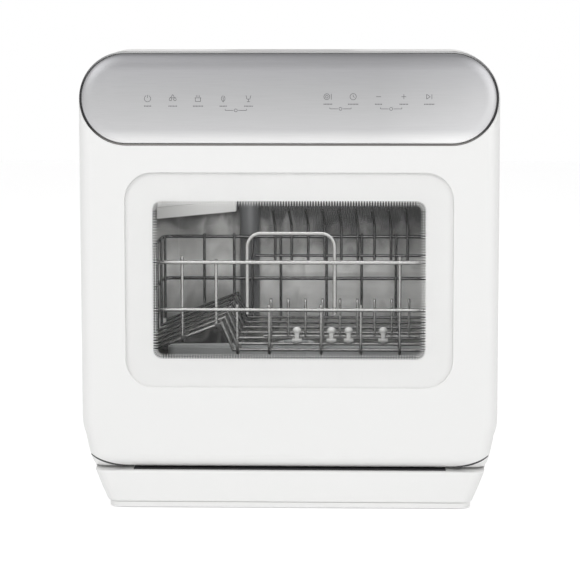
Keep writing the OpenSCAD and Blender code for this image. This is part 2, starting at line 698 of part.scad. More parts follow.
module drain_spigot() color("gray") difference() {
    union() {
        boss(drain_x, drain_z, spigot_f0, body_d, drain_r);
        boss(drain_x, drain_z, rear_f0 - 14, spigot_f0 + eps, drain_r - 0.8);
        boss(drain_x, drain_z, rear_f0 - 5, rear_f0 - seat, drain_r + 8);
    }
    boss(drain_x, drain_z, rear_f0 - 15, body_d + 1, drain_r - 2.5);
}

module water_tank() color("lightcyan") difference() {
    placed() translate([0, 0, tank_z0]) linear_extrude(height = tank_h) rrect(tank_x0, tank_f0, tank_x1, tank_f1, 22);
    placed() translate([0, 0, tank_z0 + 2]) linear_extrude(height = tank_h - 4) rrect(tank_x0 + 2, tank_f0 + 2, tank_x1 - 2, tank_f1 - 2, 20);
    post(fill_x, fill_f, tank_z0 + tank_h - 10, body_h, neck_r + seat);
    boss(tank_in_x, inlet_z, tank_f1 - 5, tank_f1 + 1, hose_r - 1.5);
}
tank_in_x = tank_x1 - 26;           // where the hose enters the tank's back
hose_r = 5;

module tank_saddles() color("darkgrey") for (x = [tank_x0 + 40, tank_x1 - 70])
    block([x, tank_f0 + 10, tub_z1 + tub_t + eps], [x + 30, tank_f1 - 60, tank_z0 - eps]);

module fill_funnel() color("white") {
    difference() {
        union() {
            post(fill_x, fill_f, body_h - 12, body_h, fill_r + 3.2);
            post(fill_x, fill_f, tank_z0 + tank_h - 8, body_h - 12 + eps, neck_r);
            post(fill_x, fill_f, tank_z0 + tank_h + eps, tank_z0 + tank_h + 3, neck_r + 8);
        }
        post(fill_x, fill_f, body_h - lid_t - seat, body_h + 1, fill_r + 0.8);
        post(fill_x, fill_f, body_h - 10, body_h + 1, fill_r - 3);
        post(fill_x, fill_f, tank_z0 + tank_h - 9, body_h, neck_r - 2.5);
        block([fill_x - 14.6, fill_f + 20, body_h - 9.5], [fill_x + 14.6, knuckle_f + 6, body_h + 1]);
    }
    difference() {
        block([fill_x - 14.6, fill_f + fill_r - 4, body_h - 12], [fill_x + 14.6, knuckle_f + 4.6, body_h - 0.4]);
        block([fill_x - 11, fill_f + 20, body_h - 10], [fill_x + 11, knuckle_f + 3.6, body_h + 1]);
        post(fill_x, fill_f, body_h - lid_t - seat, body_h + 1, fill_r + 0.8);
        pin(fill_x - 20, fill_x + 20, knuckle_f, knuckle_z, lid_pin_r + 0.05);
    }
}

module fill_lid() color("white") difference() {
    union() {
        post(fill_x, fill_f, body_h - lid_t, body_h, fill_r);
        block([fill_x - 10, fill_f + 24, body_h - lid_t], [fill_x + 10, knuckle_f, body_h]);
        pin(fill_x - 10, fill_x + 10, knuckle_f, knuckle_z, knuckle_r);
    }
    pin(fill_x - 20, fill_x + 20, knuckle_f, knuckle_z, lid_pin_r + 0.06);
    // finger dip at the front
    placed() translate([fill_x, fill_f - fill_r + 6, body_h + 5]) sphere(r = 8);
}

module inlet_valve() color("white") {
    difference() {
        union() {
            boss(inlet_x, inlet_z, spigot_f0, body_d, inlet_r);
            boss(inlet_x, inlet_z, rear_f0 - 26, spigot_f0 + eps, inlet_r - 1.2);
            boss(inlet_x, inlet_z, rear_f0 - 5, rear_f0 - seat, inlet_r + 6);
        }
        boss(inlet_x, inlet_z, rear_f0 - 20, body_d + 1, 9);
    }
    // solenoid coil on top, outlet to the side
    post(inlet_x, rear_f0 - 20, inlet_z - 34, inlet_z - 11, 12);
    pin(inlet_x - 30, inlet_x - 10, rear_f0 - 20, inlet_z, 6);
}

module tank_hose() color("black") placed() wire([
    [inlet_x - 30 - eps, rear_f0 - 20, inlet_z], [tank_in_x, rear_f0 - 20, inlet_z],
    [tank_in_x, tank_f1 + eps, inlet_z]], hose_r, 6.5);

module power_board() color("seagreen") {
    z = floor_z + seat + 1.7;
    x = 40 - body_hw;
    block([x, cab_f1 - 90, floor_z + seat], [x + 46, cab_f1 - 20, z]);
    for (i = [0:2]) block([x + 6 + 13 * i, cab_f1 - 80, z - eps], [x + 14 + 13 * i, cab_f1 - 62, z + 15]);
    post(x + 24, cab_f1 - 40, z - eps, z + 23, 9);
}

module cord_gland() color("dimgray") difference() {
    union() {
        boss(gland_x, gland_z, rear_f0 - 6, rear_f0 + rear_t + 6, gland_r);
        boss(gland_x, gland_z, rear_f0 + rear_t + eps, rear_f0 + rear_t + 3, gland_r + 3);
        boss(gland_x, gland_z, rear_f0 - 6, rear_f0 - seat, gland_r + 3);
    }
    boss(gland_x, gland_z, rear_f0 - 7, rear_f0 + 12, 4);
}

// ---------------------------------------------------------------- door mechanism on the cabinet

module hinge_brackets() color("silver") for (s = [-1, 1]) {
    difference() {
        placed() translate([s * hinge_x - 2, 0, 0]) rotate([90, 0, 90]) linear_extrude(height = 4) {
            translate([hinge_f, hinge_z]) circle(r = 7.4);
            translate([hinge_f, hinge_z - 7]) square([cab_f0 + 34 - hinge_f, 14]);
            translate([cab_f0 + 10, floor_z + seat]) square([24, hinge_z - floor_z - seat]);
        }
        pin(s * hinge_x - 5, s * hinge_x + 5, hinge_f, hinge_z, hinge_pin_r + 0.05);
    }
    // foot screwed to the tray
    block([min(s * (hinge_x - 16), s * hinge_x), cab_f0 + 10, floor_z + seat],
          [max(s * (hinge_x - 16), s * hinge_x), cab_f0 + 34, floor_z + seat + 3]);
}

// Pins of the door hinges and of the filler lid
module hinge_pins() color("silver") {
    for (s = [-1, 1]) mirror([s > 0 ? 0 : 1, 0, 0]) {
        pin(hinge_x - 8, hinge_x + 20, hinge_f, hinge_z, hinge_pin_r);
        pin(hinge_x - 9.5, hinge_x - 8 + eps, hinge_f, hinge_z, hinge_pin_r + 1.5);
    }
    pin(fill_x - 14.4, fill_x + 14.4, knuckle_f, knuckle_z, lid_pin_r);
}

// Torsion springs that carry the door's weight; each ring of the coil is one step of the sweep
spring_turns = 5;
spring_steps = 14;
spring_wire_r = 1.1;
spring_r = hinge_pin_r + spring_wire_r + 0.4;
function coil_ring(i) = let (a = 360 * i / spring_steps, x = spring_wire_r + 2.7 * i / spring_steps)
    [for (k = [0:5]) [x + spring_wire_r * sin(60 * k),
        (spring_r + spring_wire_r * cos(60 * k)) * cos(a), (spring_r + spring_wire_r * cos(60 * k)) * sin(a)]];
module coil() {
    n = spring_turns * spring_steps;
    polyhedron(
        points = [for (i = [0:n]) each coil_ring(i)],
        faces = concat([[for (k = [0:5]) 5 - k]], [[for (k = [0:5]) 6 * n + k]],
            [for (i = [0:n - 1], k = [0:5]) [6 * i + k, 6 * i + (k + 1) % 6, 6 * i + 6 + (k + 1) % 6, 6 * i + 6 + k]]));
}
module hinge_springs() color("slategray") for (s = [-1, 1]) mirror([s > 0 ? 0 : 1, 0, 0])
    placed() translate([hinge_x + 2.3, hinge_f, hinge_z]) coil();

strike_z = mouth_z1 + 24;
module door_lock() color("white") difference() {
    block([-24, cab_f0 + frame_t + eps, strike_z - 8], [24, cab_f0 + frame_t + 34, strike_z + 18]);
    block([-9, cab_f0, strike_z - 5], [9, cab_f0 + frame_t + 24, strike_z + 8]);
}

// Float that lifts if water gets into the tray
float_x = -body_hw + 60;
float_f = cab_f0 + 80;
float_pin_r = 4;
float_z0 = floor_z + 2 + seat;
float_z1 = float_z0 + 14;
module overflow_float() color("white") difference() {
    post(float_x, float_f, float_z0, float_z1, 18);
    post(float_x, float_f, float_z0 - 1, float_z1 + 1, float_pin_r + 0.08);
    post(float_x, float_f, float_z1 - 3, float_z1 + 1, 12);
}

// ---------------------------------------------------------------- door

// Section of the door's rim: face and back edges rounded, lip at the back
module door_section() difference() {
    r = door_r;
    union() {
        translate([r - 18, door_f0]) square([18 - door_edge_r, door_t]);
        translate([r - 18, door_f0 + door_edge_r]) square([18, door_t - door_edge_r - door_back_r]);
        translate([r - door_edge_r, door_f0 + door_edge_r]) circle(r = door_edge_r);
        translate([r - door_back_r, door_f1 - door_back_r]) circle(r = door_back_r);
        translate([r - 18, door_f1 - door_back_r]) square([18 - door_back_r, door_back_r]);
    }
    union() {
        w = door_wall;
        translate([r - 30, door_f0 + w]) square([30 - door_edge_r, door_t - 2 * w]);
        translate([r - 19, door_f0 + door_edge_r]) square([19 - w, door_t - door_edge_r - door_back_r]);
        translate([r - door_edge_r, door_f0 + door_edge_r]) circle(r = door_edge_r - w);
        translate([r - door_back_r, door_f1 - door_back_r]) circle(r = door_back_r - w);
        translate([r - 19, door_f1 - door_back_r]) square([19 - door_back_r, door_back_r - w]);
    }
}

module door_shell() color("white") difference() {
    union() {
        front_view() swept(-body_hw, door_z0, body_hw, door_z1, door_r) door_section();
        plate(door_f0, door_f0 + door_wall) door_outline(17.9);
        // seat that carries the front glass
        plate(door_f0 + door_wall - eps, door_f0 + glass_t + 3) glass_outline(-6);
        // pocket that the control panel drops into
        plate(door_f0 + 1, door_f0 + 15) intersection() {
            door_outline(1.2);
            panel_outline(-2.8);
        }
    }
    plate(door_f0 - 1, door_f0 + glass_t + seat) glass_outline(-seat);
    plate(door_f0 - 1, door_f0 + 20) view_outline(8);
    plate(door_f0 - 1, door_f0 + 12.6) panel_outline(-seat);
    // the thin wall outside the panel stops level with the trim ring
    plate(door_f0 - 1, door_f0 + 5) difference() {
        panel_outline(-3);
        door_outline(3.4);
    }
    // cable way from the panel
    block([-60, door_f0 + 10, panel_z0 + 30], [60, door_f0 + 16, panel_z0 + 60]);
    // finger pull and hinge slots
    block([-62, door_f0 + 17.6, door_z1 - 26], [62, door_f1 + 1, door_z1 + 1]);
    for (s = [-1, 1])
        block([s * hinge_x - 3, hinge_f - 8.6, door_z0 - 1], [s * hinge_x + 3, door_f1 + 1, hinge_z + 8.6]);
}

// Front glass; the scene gives it its white border and clear view
module door_glass() color([0.93, 0.94, 0.95]) plate(door_f0, door_f0 + glass_t) glass_outline(0);

// Pressed stainless inner panel, dished where it faces the tub
module door_liner() color("silver") difference() {
    union() {
        plate(door_f1 + eps, door_f1 + 1) door_outline(9);
        plate(dish_f, door_f1 + 1) rrect(-dish_hw, dish_z0, dish_hw, mouth_z1 - 4, 20);
    }
    plate(dish_f + 1, door_f1 + 2) rrect(-dish_hw + 1, dish_z0 + 1, dish_hw - 1, mouth_z1 - 5, 19);
    plate(dish_f - 1, dish_f + 2) view_outline(pane_lap);
    block([disp_x0 + 3, dish_f - 1, disp_z0 + 2.6], [disp_x1 - 3, dish_f + 2, disp_z0 + disp_h - 2.6]);
    block([-62, door_f1 - 1, door_z1 - 26], [62, door_f1 + 2, door_z1 + 1]);
    for (s = [-1, 1])
        block([s * hinge_x - 3, door_f1 - 1, door_z0 - 1], [s * hinge_x + 3, door_f1 + 2, hinge_z + 8.6]);
}
pane_lap = 4;                       // liner opening beyond the clear view

module inner_pane() color([0.8, 0.9, 0.95, 0.4])
    plate(dish_f - 4.2, dish_f - 4.2 + pane_t) view_outline(pane_lap + 3);

module pane_gasket() color("dimgray") difference() {
    plate(dish_f - 5.4, dish_f - eps) view_outline(pane_lap + 5);
    plate(dish_f - 6, dish_f + 1) view_outline(pane_lap + 1);
    plate(dish_f - 4.2, dish_f - 4.2 + pane_t) view_outline(pane_lap + 3);
}

// Brushed aluminium skin with a rolled edge all round
module control_panel() color("silver") front_view() {
    hw = panel_hw - trim_w - seat;
    z0 = panel_z0 + trim_w + seat;
    z1 = panel_z0 + panel_h - trim_w - seat;
    r = (z1 - z0) / 2;
    swept(-hw, z0, hw, z1, r) difference() {
        union() {
            translate([r - panel_edge_r, panel_edge_r]) circle(r = panel_edge_r);
            translate([r - panel_edge_r, panel_edge_r]) square([panel_edge_r, panel_back - panel_edge_r]);
        }
        translate([r - panel_edge_r, panel_edge_r]) circle(r = panel_edge_r - 1.6);
        translate([0, panel_edge_r]) square([r - 1.6, 30]);
        square([r - panel_edge_r, 30]);
        translate([0, panel_back]) square([r + 1, 30]);
    }
    linear_extrude(height = 1.6) stadium(hw - panel_edge_r, z0 + panel_edge_r, z1 - panel_edge_r);
}
panel_back = door_f0 + 12.4;

module panel_trim() color("gray") plate(door_f0 + 5, door_f0 + 12.5) difference() {
    panel_outline(0);
    panel_outline(trim_w);
}

module control_board() color("seagreen") {
    plate(4, 5.6) stadium(panel_hw - 38, panel_z0 + 22, panel_z0 + panel_h - 22);
    for (x = [-90, 90]) block([x - 22, 5.6 - eps, panel_z0 + 36], [x + 22, 11, panel_z0 + 56]);
    // stand-offs to the pocket floor
    for (x = [30, panel_hw - 58], s = [-1, 1]) boss(s * x, panel_z0 + panel_h / 2 - 8, 5.6 - eps, door_f0 + 12.6, 3);
}

// Dark cup in the door's top edge, to pull the door open
module door_pull() color("dimgray") difference() {
    block([-61.7, door_f0 + 18, door_z1 - 25.7], [61.7, door_f1 + 1, door_z1 - 1]);
    block([-59, door_f0 + 20.5, door_z1 - 23.5], [59, door_f1 - 1.5, door_z1 + 1]);
}

// Steel arms that hang the door on the hinge pins
module hinge_arms() color("silver") for (s = [-1, 1]) mirror([s > 0 ? 0 : 1, 0, 0]) difference() {
    union() {
        placed() translate([hinge_x - 6.7, 0, 0]) rotate([90, 0, 90]) linear_extrude(height = 3) {
            translate([hinge_f, hinge_z]) circle(r = 9);
            translate([hinge_f - 9, hinge_z]) square([door_f1 - seat - hinge_f + 9, lever_z1 - hinge_z]);
        }
        block([hinge_x - 22, door_f1 - 3, hinge_z + 12], [hinge_x - 3.7, door_f1 - seat, lever_z1]);
    }
    pin(hinge_x - 10, hinge_x, hinge_f, hinge_z, hinge_pin_r + 0.06);
}
lever_z1 = dish_z0 - 3;             // top of the hinge arms, below the liner's dish

module lock_strike() color("silver") difference() {
    union() {
        block([-7, door_f1 + 1 + eps, strike_z - 3], [7, cab_f0 + frame_t + 12, strike_z + 3]);
        block([-12, door_f1 + 1 + eps, strike_z - 3], [12, door_f1 + 2.6, strike_z + 12]);
    }
    block([-4, cab_f0 + frame_t + 2, strike_z - 4], [4, cab_f0 + frame_t + 9, strike_z + 4]);
}

// Cup for one dose, with the track that its lid slides along
module dispenser_cup() color("whitesmoke") difference() {
    union() {
        block([disp_x0, dish_f + 1 + eps, disp_z0], [disp_x1, dish_f + 3, disp_z0 + disp_h]);
        for (z = [disp_z0, disp_z0 + disp_h - 2])
            block([disp_x0, dish_f + 3 - eps, z], [disp_x1, dish_f + 7.2, z + 2]);
        for (z = [disp_z0 + 2 - eps, disp_z0 + disp_h - 3.4])
            block([disp_x0, dish_f + 6.4, z], [disp_x1, dish_f + 7.2, z + 1.4 + eps]);
        block([disp_x1 - disp_lid_w - 2, dish_f - 20, disp_z0 + 3], [disp_x1 - 4, dish_f + 1 + 2 * eps, disp_z0 + disp_h - 3]);
    }
    block([disp_x1 - disp_lid_w, dish_f - 18, disp_z0 + 5], [disp_x1 - 6, dish_f + 4, disp_z0 + disp_h - 5]);
}

module dispenser_lid() color("lightgrey") {
    block([disp_x1 - disp_lid_w - 2, dish_f + 3 + seat, disp_z0 + 2.3], [disp_x1 - 2, dish_f + 6.1, disp_z0 + disp_h - 2.3]);
    // thumb ridge
    block([disp_x1 - disp_lid_w + 4, dish_f + 6.1 - eps, disp_z0 + 6], [disp_x1 - disp_lid_w + 7, dish_f + 7.6, disp_z0 + disp_h - 6]);
}

// ---------------------------------------------------------------- basket

module rim(z, r) placed() {
    hw = basket_hw;
    wire([[0, basket_f0, z], [hw, basket_f0, z], [hw, basket_f1, z], [-hw, basket_f1, z],
          [-hw, basket_f0, z], [0, basket_f0, z]], r, 10);
}
module basket_rims() color("gainsboro") {
    rim(rail_z, 2);
    rim(low_rail_z, 2);
}

// Height of the bowl ramp's wires at x
function ramp_z(x) = let (x0 = inside - basket_hw)
    rib_z - ramp_dip + (ramp_rise + ramp_dip) * (x - x0) / (ramp_x - x0);
// Middle of a wire that passes under the ramp, kept to tenths
function under_ramp(x) = floor(10 * (ramp_z(x) - 2 * wire_r - 0.3)) / 10;

// Wires that run front to back: x, height of the run, height of the front end
stringers = [
    [-111.9, under_ramp(-111.9), rail_z + 6], [-77, under_ramp(-77), rail_z + 3],
    [-55.4, basket_z0, low_rail_z + 5], [-22.5, basket_z0, low_rail_z + 5], [30.9, basket_z0, low_rail_z + 5],
    [71.8, basket_z0, low_rail_z + 5], [111.8, basket_z0, rail_z + 6]];
module basket_stringers() color("gainsboro") placed() for (s = stringers) {
    f0 = basket_f0 + inside;
    f1 = basket_f1 - inside;
    wire([[s[0], f0, s[2]], [s[0], f0, s[1]], [s[0], f1, s[1]], [s[0], f1, rail_z + 4]], wire_r, 7);
}

// Wires that run left to right: up the side, over the bowl ramp, along the floor and up the other side
module basket_ribs() color("gainsboro") placed() for (i = [0:rib_n - 1]) {
    f = rib_f0 + rib_pitch * i;
    hw = basket_hw - inside;
    wire([[-hw, f, rail_z + 3], [-hw, f, ramp_z(-hw)], [ramp_x, f, ramp_z(ramp_x)], [ramp_x + 12, f, rib_z],
          [hw, f, rib_z], [hw, f, rail_z + 3]], wire_r, 5);
}

module basket_handle() color("white") placed() {
    f = basket_f0 + inside + 0.4;
    wire([[-handle_w / 2, f, low_rail_z - 5], [-handle_w / 2, f, handle_z], [handle_w / 2, f, handle_z],
          [handle_w / 2, f, low_rail_z - 5]], 2, 14);
}

// Fixed comb high on the basket's back
rear_comb_z = 224;
rear_comb_x0 = -28.8;
rear_comb_pitch = (basket_hw - 34.8 - rear_comb_x0) / (comb_n - 1);
tine_h = 53.5;                      // height of a tine over the comb's bar, and of its bend
tine_bend = 35;
module rear_comb() color("gainsboro") placed() {
    f = basket_f1 - inside - 2 * wire_r - weld;
    wire([[-52, f, rear_comb_z], [basket_hw - 4 * wire_r, f, rear_comb_z]], wire_r, 5);
    for (i = [0:comb_n - 1]) {
        x = rear_comb_x0 + rear_comb_pitch * i;
        tip = [x - 3, f - 8, rear_comb_z + tine_h];
        wire([[x, f - 3.25, rear_comb_z - 5], [x, f - 3.25, rear_comb_z + tine_bend], tip], wire_r, 12);
        translate(tip) sphere(r = wire_r + knuckle_extra, $fn = wire_fn);
    }
}

// Comb of hairpins for plates, which folds flat
comb_h = 39;
module plate_comb() color("gainsboro") placed() {
    rod([comb_x0 - 8, comb_f, comb_z], [comb_x0 + comb_pitch * (comb_n - 1) + 12, comb_f, comb_z], wire_r);
    for (i = [0:comb_n - 1]) {
        x = comb_x0 + comb_pitch * i;
        translate([x, comb_f, comb_z]) hairpin();
    }
}
module hairpin() {
    rod([0, -2.6, 0], [0, -2.6, comb_h - 2.6], 1.3);
    rod([0, 2.6, 0], [0, 2.6, comb_h - 2.6], 1.3);
    translate([0, 0, comb_h - 2.6]) rotate([90, 0, 90]) rotate_extrude(angle = 180) translate([2.6, 0]) circle(r = 1.3, $fn = wire_fn);
}

module comb_clips() color("white") for (i = [1, 3, 4, 6]) {
    x = comb_x0 + comb_pitch * (i + 0.5);
    difference() {
        block([x - 4, comb_f - 5, rib_z + wire_r + 0.05], [x + 4, comb_f + 5, comb_z + 4.5]);
        pin(x - 5, x + 5, comb_f, comb_z, wire_r + 0.08);
    }
}

module basket_glides() color("white") for (s = [-1, 1], f = [rib_f0 + glide_in, rib_f1 - glide_in])
    mirror([s > 0 ? 0 : 1, 0, 0])
        block([basket_hw - inside - 1, f - 8, rail_flange_z + 2 + seat], [basket_hw + 7, f + 8, rail_flange_z + 14 - seat]);

cabinet_wrap();
rear_cover();
rear_screws();
base_tray();
base_skirt();
rubber_feet();
plinth();
tub_frame();
door_gasket();
tub();
basket_rails();
riser_duct();
drying_hood();
fan_housing();
fan_rotor();
sump();
filter_plate();
filter_cup();
sump_heater();
wash_pump();
sump_hose();
arm_post();
spray_arm();
drain_pump();
drain_hose();
drain_spigot();
water_tank();
tank_saddles();
fill_funnel();
fill_lid();
inlet_valve();
tank_hose();
power_board();
cord_gland();
hinge_brackets();
hinge_pins();
hinge_springs();
door_lock();
overflow_float();
door_shell();
door_glass();
door_liner();
inner_pane();
pane_gasket();
control_panel();
panel_trim();
control_board();
door_pull();
hinge_arms();
lock_strike();
dispenser_cup();
dispenser_lid();
basket_rims();
basket_stringers();
basket_ribs();
basket_handle();
rear_comb();
plate_comb();
comb_clips();
basket_glides();
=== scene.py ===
"""Countertop dishwasher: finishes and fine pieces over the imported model"""

import math

import bmesh
import bpy
from bpy.props import FloatProperty, PointerProperty, StringProperty
from bpy.types import NodeSocket, Operator, Panel, PropertyGroup
from mathutils import Matrix, Vector
from mathutils.bvhtree import BVHTree


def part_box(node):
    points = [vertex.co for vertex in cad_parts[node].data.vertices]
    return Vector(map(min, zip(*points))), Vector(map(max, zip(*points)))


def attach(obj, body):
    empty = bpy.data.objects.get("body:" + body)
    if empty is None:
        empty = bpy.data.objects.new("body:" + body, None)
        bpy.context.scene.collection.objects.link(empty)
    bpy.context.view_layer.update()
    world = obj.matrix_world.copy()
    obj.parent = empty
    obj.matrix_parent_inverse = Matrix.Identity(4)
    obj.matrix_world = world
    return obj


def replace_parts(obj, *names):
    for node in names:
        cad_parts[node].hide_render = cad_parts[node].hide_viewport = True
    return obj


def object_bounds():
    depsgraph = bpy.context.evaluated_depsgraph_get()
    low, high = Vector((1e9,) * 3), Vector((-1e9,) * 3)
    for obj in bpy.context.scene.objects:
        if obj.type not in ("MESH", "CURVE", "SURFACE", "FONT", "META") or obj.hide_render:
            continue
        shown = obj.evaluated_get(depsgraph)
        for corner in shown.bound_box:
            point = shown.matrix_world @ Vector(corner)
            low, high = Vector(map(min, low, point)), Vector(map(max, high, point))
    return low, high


bl_info = {
    "name": "Countertop dishwasher",
    "version": (1, 0, 0),
    "blender": (4, 5, 0),
    "location": "3D View > Sidebar > Dishwasher",
    "description": "Dresses the packed dishwasher with its finishes and fine pieces",
    "category": "Object",
}

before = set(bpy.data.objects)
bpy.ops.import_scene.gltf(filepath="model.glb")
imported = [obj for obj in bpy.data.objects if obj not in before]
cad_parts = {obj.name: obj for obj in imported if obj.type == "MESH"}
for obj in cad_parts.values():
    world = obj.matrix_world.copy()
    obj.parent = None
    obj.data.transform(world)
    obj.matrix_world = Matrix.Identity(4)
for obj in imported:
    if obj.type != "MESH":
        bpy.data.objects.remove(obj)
LOW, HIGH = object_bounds()
MM = 0.001
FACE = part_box("control_panel")[0].y      # the panel's face, which stands furthest forward
SKIN = 0.05 * MM                         # how far a thin layer stands off what it lies on
WHITE, BLACK = "#FFFFFF", "#000000"


# ---------------------------------------------------------------- colours and nodes

def linear(code):
    """A colour written as sRGB hex, as linear RGBA"""
    values = [int(code[i:i + 2], 16) / 255 for i in (1, 3, 5)]
    return [v / 12.92 if v <= 0.04045 else ((v + 0.055) / 1.055) ** 2.4 for v in values] + [1.0]


def add(tree, kind, inputs=None, stops=(), **settings):
    """Adds a node. An input is a value or the socket that feeds it, a stop a place on a ramp and its colour"""
    made = tree.nodes.new(kind)
    for name, value in settings.items():
        setattr(made, name, value)
    for name, value in (inputs or {}).items():
        if isinstance(value, NodeSocket):
            tree.links.new(value, made.inputs[name])
        else:
            made.inputs[name].default_value = value
    while stops and len(made.color_ramp.elements) < len(stops):
        made.color_ramp.elements.new(0.5)
    for (place, code), element in zip(stops, made.color_ramp.elements if stops else ()):
        element.position, element.color = place, linear(code)
    return made


def grain(tree, millimetres, detail=2.0, distortion=0.0):
    """A cloudy pattern from 0 to 1, whose grains have a size in millimetres along each axis"""
    place = add(tree, "ShaderNodeTexCoord").outputs["Object"]
    scale = [1 / (MM * size) for size in millimetres]
    spread = add(tree, "ShaderNodeMapping", {"Vector": place, "Scale": scale})
    return add(tree, "ShaderNodeTexNoise", {
        "Vector": spread.outputs["Vector"], "Scale": 1.0, "Detail": detail, "Distortion": distortion,
    }).outputs["Fac"]


def along(tree, axis, start, end, low=0.0, high=1.0):
    """A number that runs from low to high between two places along an axis of the object"""
    place = add(tree, "ShaderNodeSeparateXYZ", {0: add(tree, "ShaderNodeTexCoord").outputs["Object"]})
    return add(tree, "ShaderNodeMapRange", {
        "Value": place.outputs[axis], "From Min": start, "From Max": end, "To Min": low, "To Max": high,
    }).outputs["Result"]


def looked_at(tree):
    """1 where the eye, a reflection or a look through glass meets the surface"""
    path = add(tree, "ShaderNodeLightPath")
    seen = add(tree, "ShaderNodeMath", {0: path.outputs["Is Camera Ray"], 1: path.outputs["Is Glossy Ray"]},
               operation="MAXIMUM")
    return add(tree, "ShaderNodeMath", {0: seen.outputs[0], 1: path.outputs["Is Transmission Ray"]},
               operation="MAXIMUM").outputs[0]


# ---------------------------------------------------------------- finishes

def powder_coat(tree):
    # Sheet steel with a white powder coat: an even satin with the faint orange peel of baked powder
    peel = add(tree, "ShaderNodeBump", {"Height": grain(tree, (2.2,) * 3), "Distance": 0.05 * MM, "Strength": 0.25})
    return add(tree, "ShaderNodeBsdfPrincipled", {
        "Base Color": linear(sizes().coat_colour), "Roughness": 0.42, "IOR": 1.5, "Normal": peel.outputs["Normal"]})


def moulded_white(tree):
    # White ABS from a polished mould: soft gloss, a little smoother than the sheet beside it
    gloss = add(tree, "ShaderNodeMapRange", {"Value": grain(tree, (5.0,) * 3, 3.0), "To Min": 0.3, "To Max": 0.38})
    return add(tree, "ShaderNodeBsdfPrincipled", {
        "Base Color": linear(sizes().moulded_colour), "Roughness": gloss.outputs["Result"], "IOR": 1.53})


def moulded(tree, colour, roughness, size=1.2, depth=0.06):
    """Plastic or rubber from a textured mould; the texture's size and depth are in millimetres"""
    texture = grain(tree, (size,) * 3, 3.0)
    dents = add(tree, "ShaderNodeBump", {"Height": texture, "Distance": depth * MM, "Strength": 0.4})
    gloss = add(tree, "ShaderNodeMapRange", {
        "Value": texture, "To Min": roughness - 0.05, "To Max": roughness + 0.07})
    return add(tree, "ShaderNodeBsdfPrincipled", {
        "Base Color": linear(colour), "Roughness": gloss.outputs["Result"], "IOR": 1.49,
        "Normal": dents.outputs["Normal"]})


def brushed(tree, dark, light, roughness, size, depth=0.03):
    """Metal with a brushed grain, given by its size in millimetres along each axis"""
    lines = grain(tree, size, 3.0)
    colour = add(tree, "ShaderNodeMix", {0: lines, 6: linear(dark), 7: linear(light)}, data_type="RGBA")
    gloss = add(tree, "ShaderNodeMapRange", {"Value": lines, "To Min": roughness - 0.08, "To Max": roughness + 0.08})
    grooves = add(tree, "ShaderNodeBump", {"Height": lines, "Distance": depth * MM, "Strength": 0.3})
    return add(tree, "ShaderNodeBsdfPrincipled", {
        "Metallic": 1.0, "Base Color": colour.outputs[2], "Roughness": gloss.outputs["Result"],
        "Normal": grooves.outputs["Normal"]})


def drawn(tree, colour, roughness):
    """Drawn or turned metal of one colour, with spots of more and less gloss"""
    spots = grain(tree, (6.0,) * 3, 4.0)
    gloss = add(tree, "ShaderNodeMapRange", {"Value": spots, "To Min": roughness - 0.05, "To Max": roughness + 0.1})
    return add(tree, "ShaderNodeBsdfPrincipled", {
        "Metallic": 1.0, "Base Color": linear(colour), "Roughness": gloss.outputs["Result"]})


def panel_metal(tree):
    # Aluminium brushed lengthwise and clear anodised. Painted shade and reflection: its colour is darkened along its
    # top roll, painted almost white along the lower one and painted a little paler towards its right-hand end
    low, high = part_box("panel_trim")
    # painted shade and reflection by height: dark at the top roll, almost white at the lower one
    ramp = add(tree, "ShaderNodeValToRGB", {"Fac": along(tree, "Z", low.z, high.z)}, stops=(
        (0.02, "#E2E2E2"), (0.07, "#D6D6D6"), (0.17, "#BCBCBD"), (0.3, "#B7B7B8"), (0.5, "#AFAFB0"),
        (0.8, "#A1A1A3"), (0.89, "#8C8C8E"), (0.95, "#757577")))
    lines = grain(tree, (30.0, 0.6, 0.6))
    streak = add(tree, "ShaderNodeMapRange", {"Value": lines, "To Min": 0.94, "To Max": 1.05})
    # painted highlight towards the right-hand end
    painted_highlight_right = along(tree, "X", 90 * MM, 190 * MM, -0.04, 0.13)
    lit = add(tree, "ShaderNodeMath", {0: streak.outputs["Result"], 1: painted_highlight_right}, operation="ADD")
    colour = add(tree, "ShaderNodeMix", {0: 1.0, 6: ramp.outputs["Color"], 7: lit.outputs[0]},
                 data_type="RGBA", blend_type="MULTIPLY")
    grooves = add(tree, "ShaderNodeBump", {"Height": lines, "Distance": 0.02 * MM, "Strength": 0.2})
    return add(tree, "ShaderNodeBsdfPrincipled", {
        "Metallic": 0.85, "Base Color": colour.outputs[2], "Roughness": 0.38, "Normal": grooves.outputs["Normal"]})


def trim_chrome(tree):
    # Zinc with a smoked chrome. Painted shade and reflection: near black at the sides as the shade at the panel's
    # edge, painted paler where it turns up or down
    low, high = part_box("panel_trim")
    # painted reflection by height: pale at the ring's top and bottom, dark between
    ramp = add(tree, "ShaderNodeValToRGB", {"Fac": along(tree, "Z", low.z, high.z)}, stops=(
        (0.0, "#8B8886"), (0.05, "#7A7877"), (0.2, "#3A3A3B"), (0.7, "#454546"), (0.93, "#8A8A8B"), (1.0, "#B4B4B4")))
    gloss = add(tree, "ShaderNodeMapRange", {"Value": grain(tree, (4.0,) * 3), "To Min": 0.18, "To Max": 0.28})
    return add(tree, "ShaderNodeBsdfPrincipled", {
        "Metallic": 0.9, "Base Color": ramp.outputs["Color"], "Roughness": gloss.outputs["Result"]})


def glass_print(tree):
    # Ceramic frit fired on the back of the glass: an even matt white, with faint clouds
    cloud = grain(tree, (40.0,) * 3)
    colour = add(tree, "ShaderNodeMix", {0: cloud, 6: linear("#F4F4F3"), 7: linear("#F8F8F7")}, data_type="RGBA")
    gloss = add(tree, "ShaderNodeMapRange", {"Value": cloud, "To Min": 0.46, "To Max": 0.54})
    return add(tree, "ShaderNodeBsdfPrincipled", {
        "Base Color": colour.outputs[2], "Roughness": gloss.outputs["Result"], "IOR": 1.5})


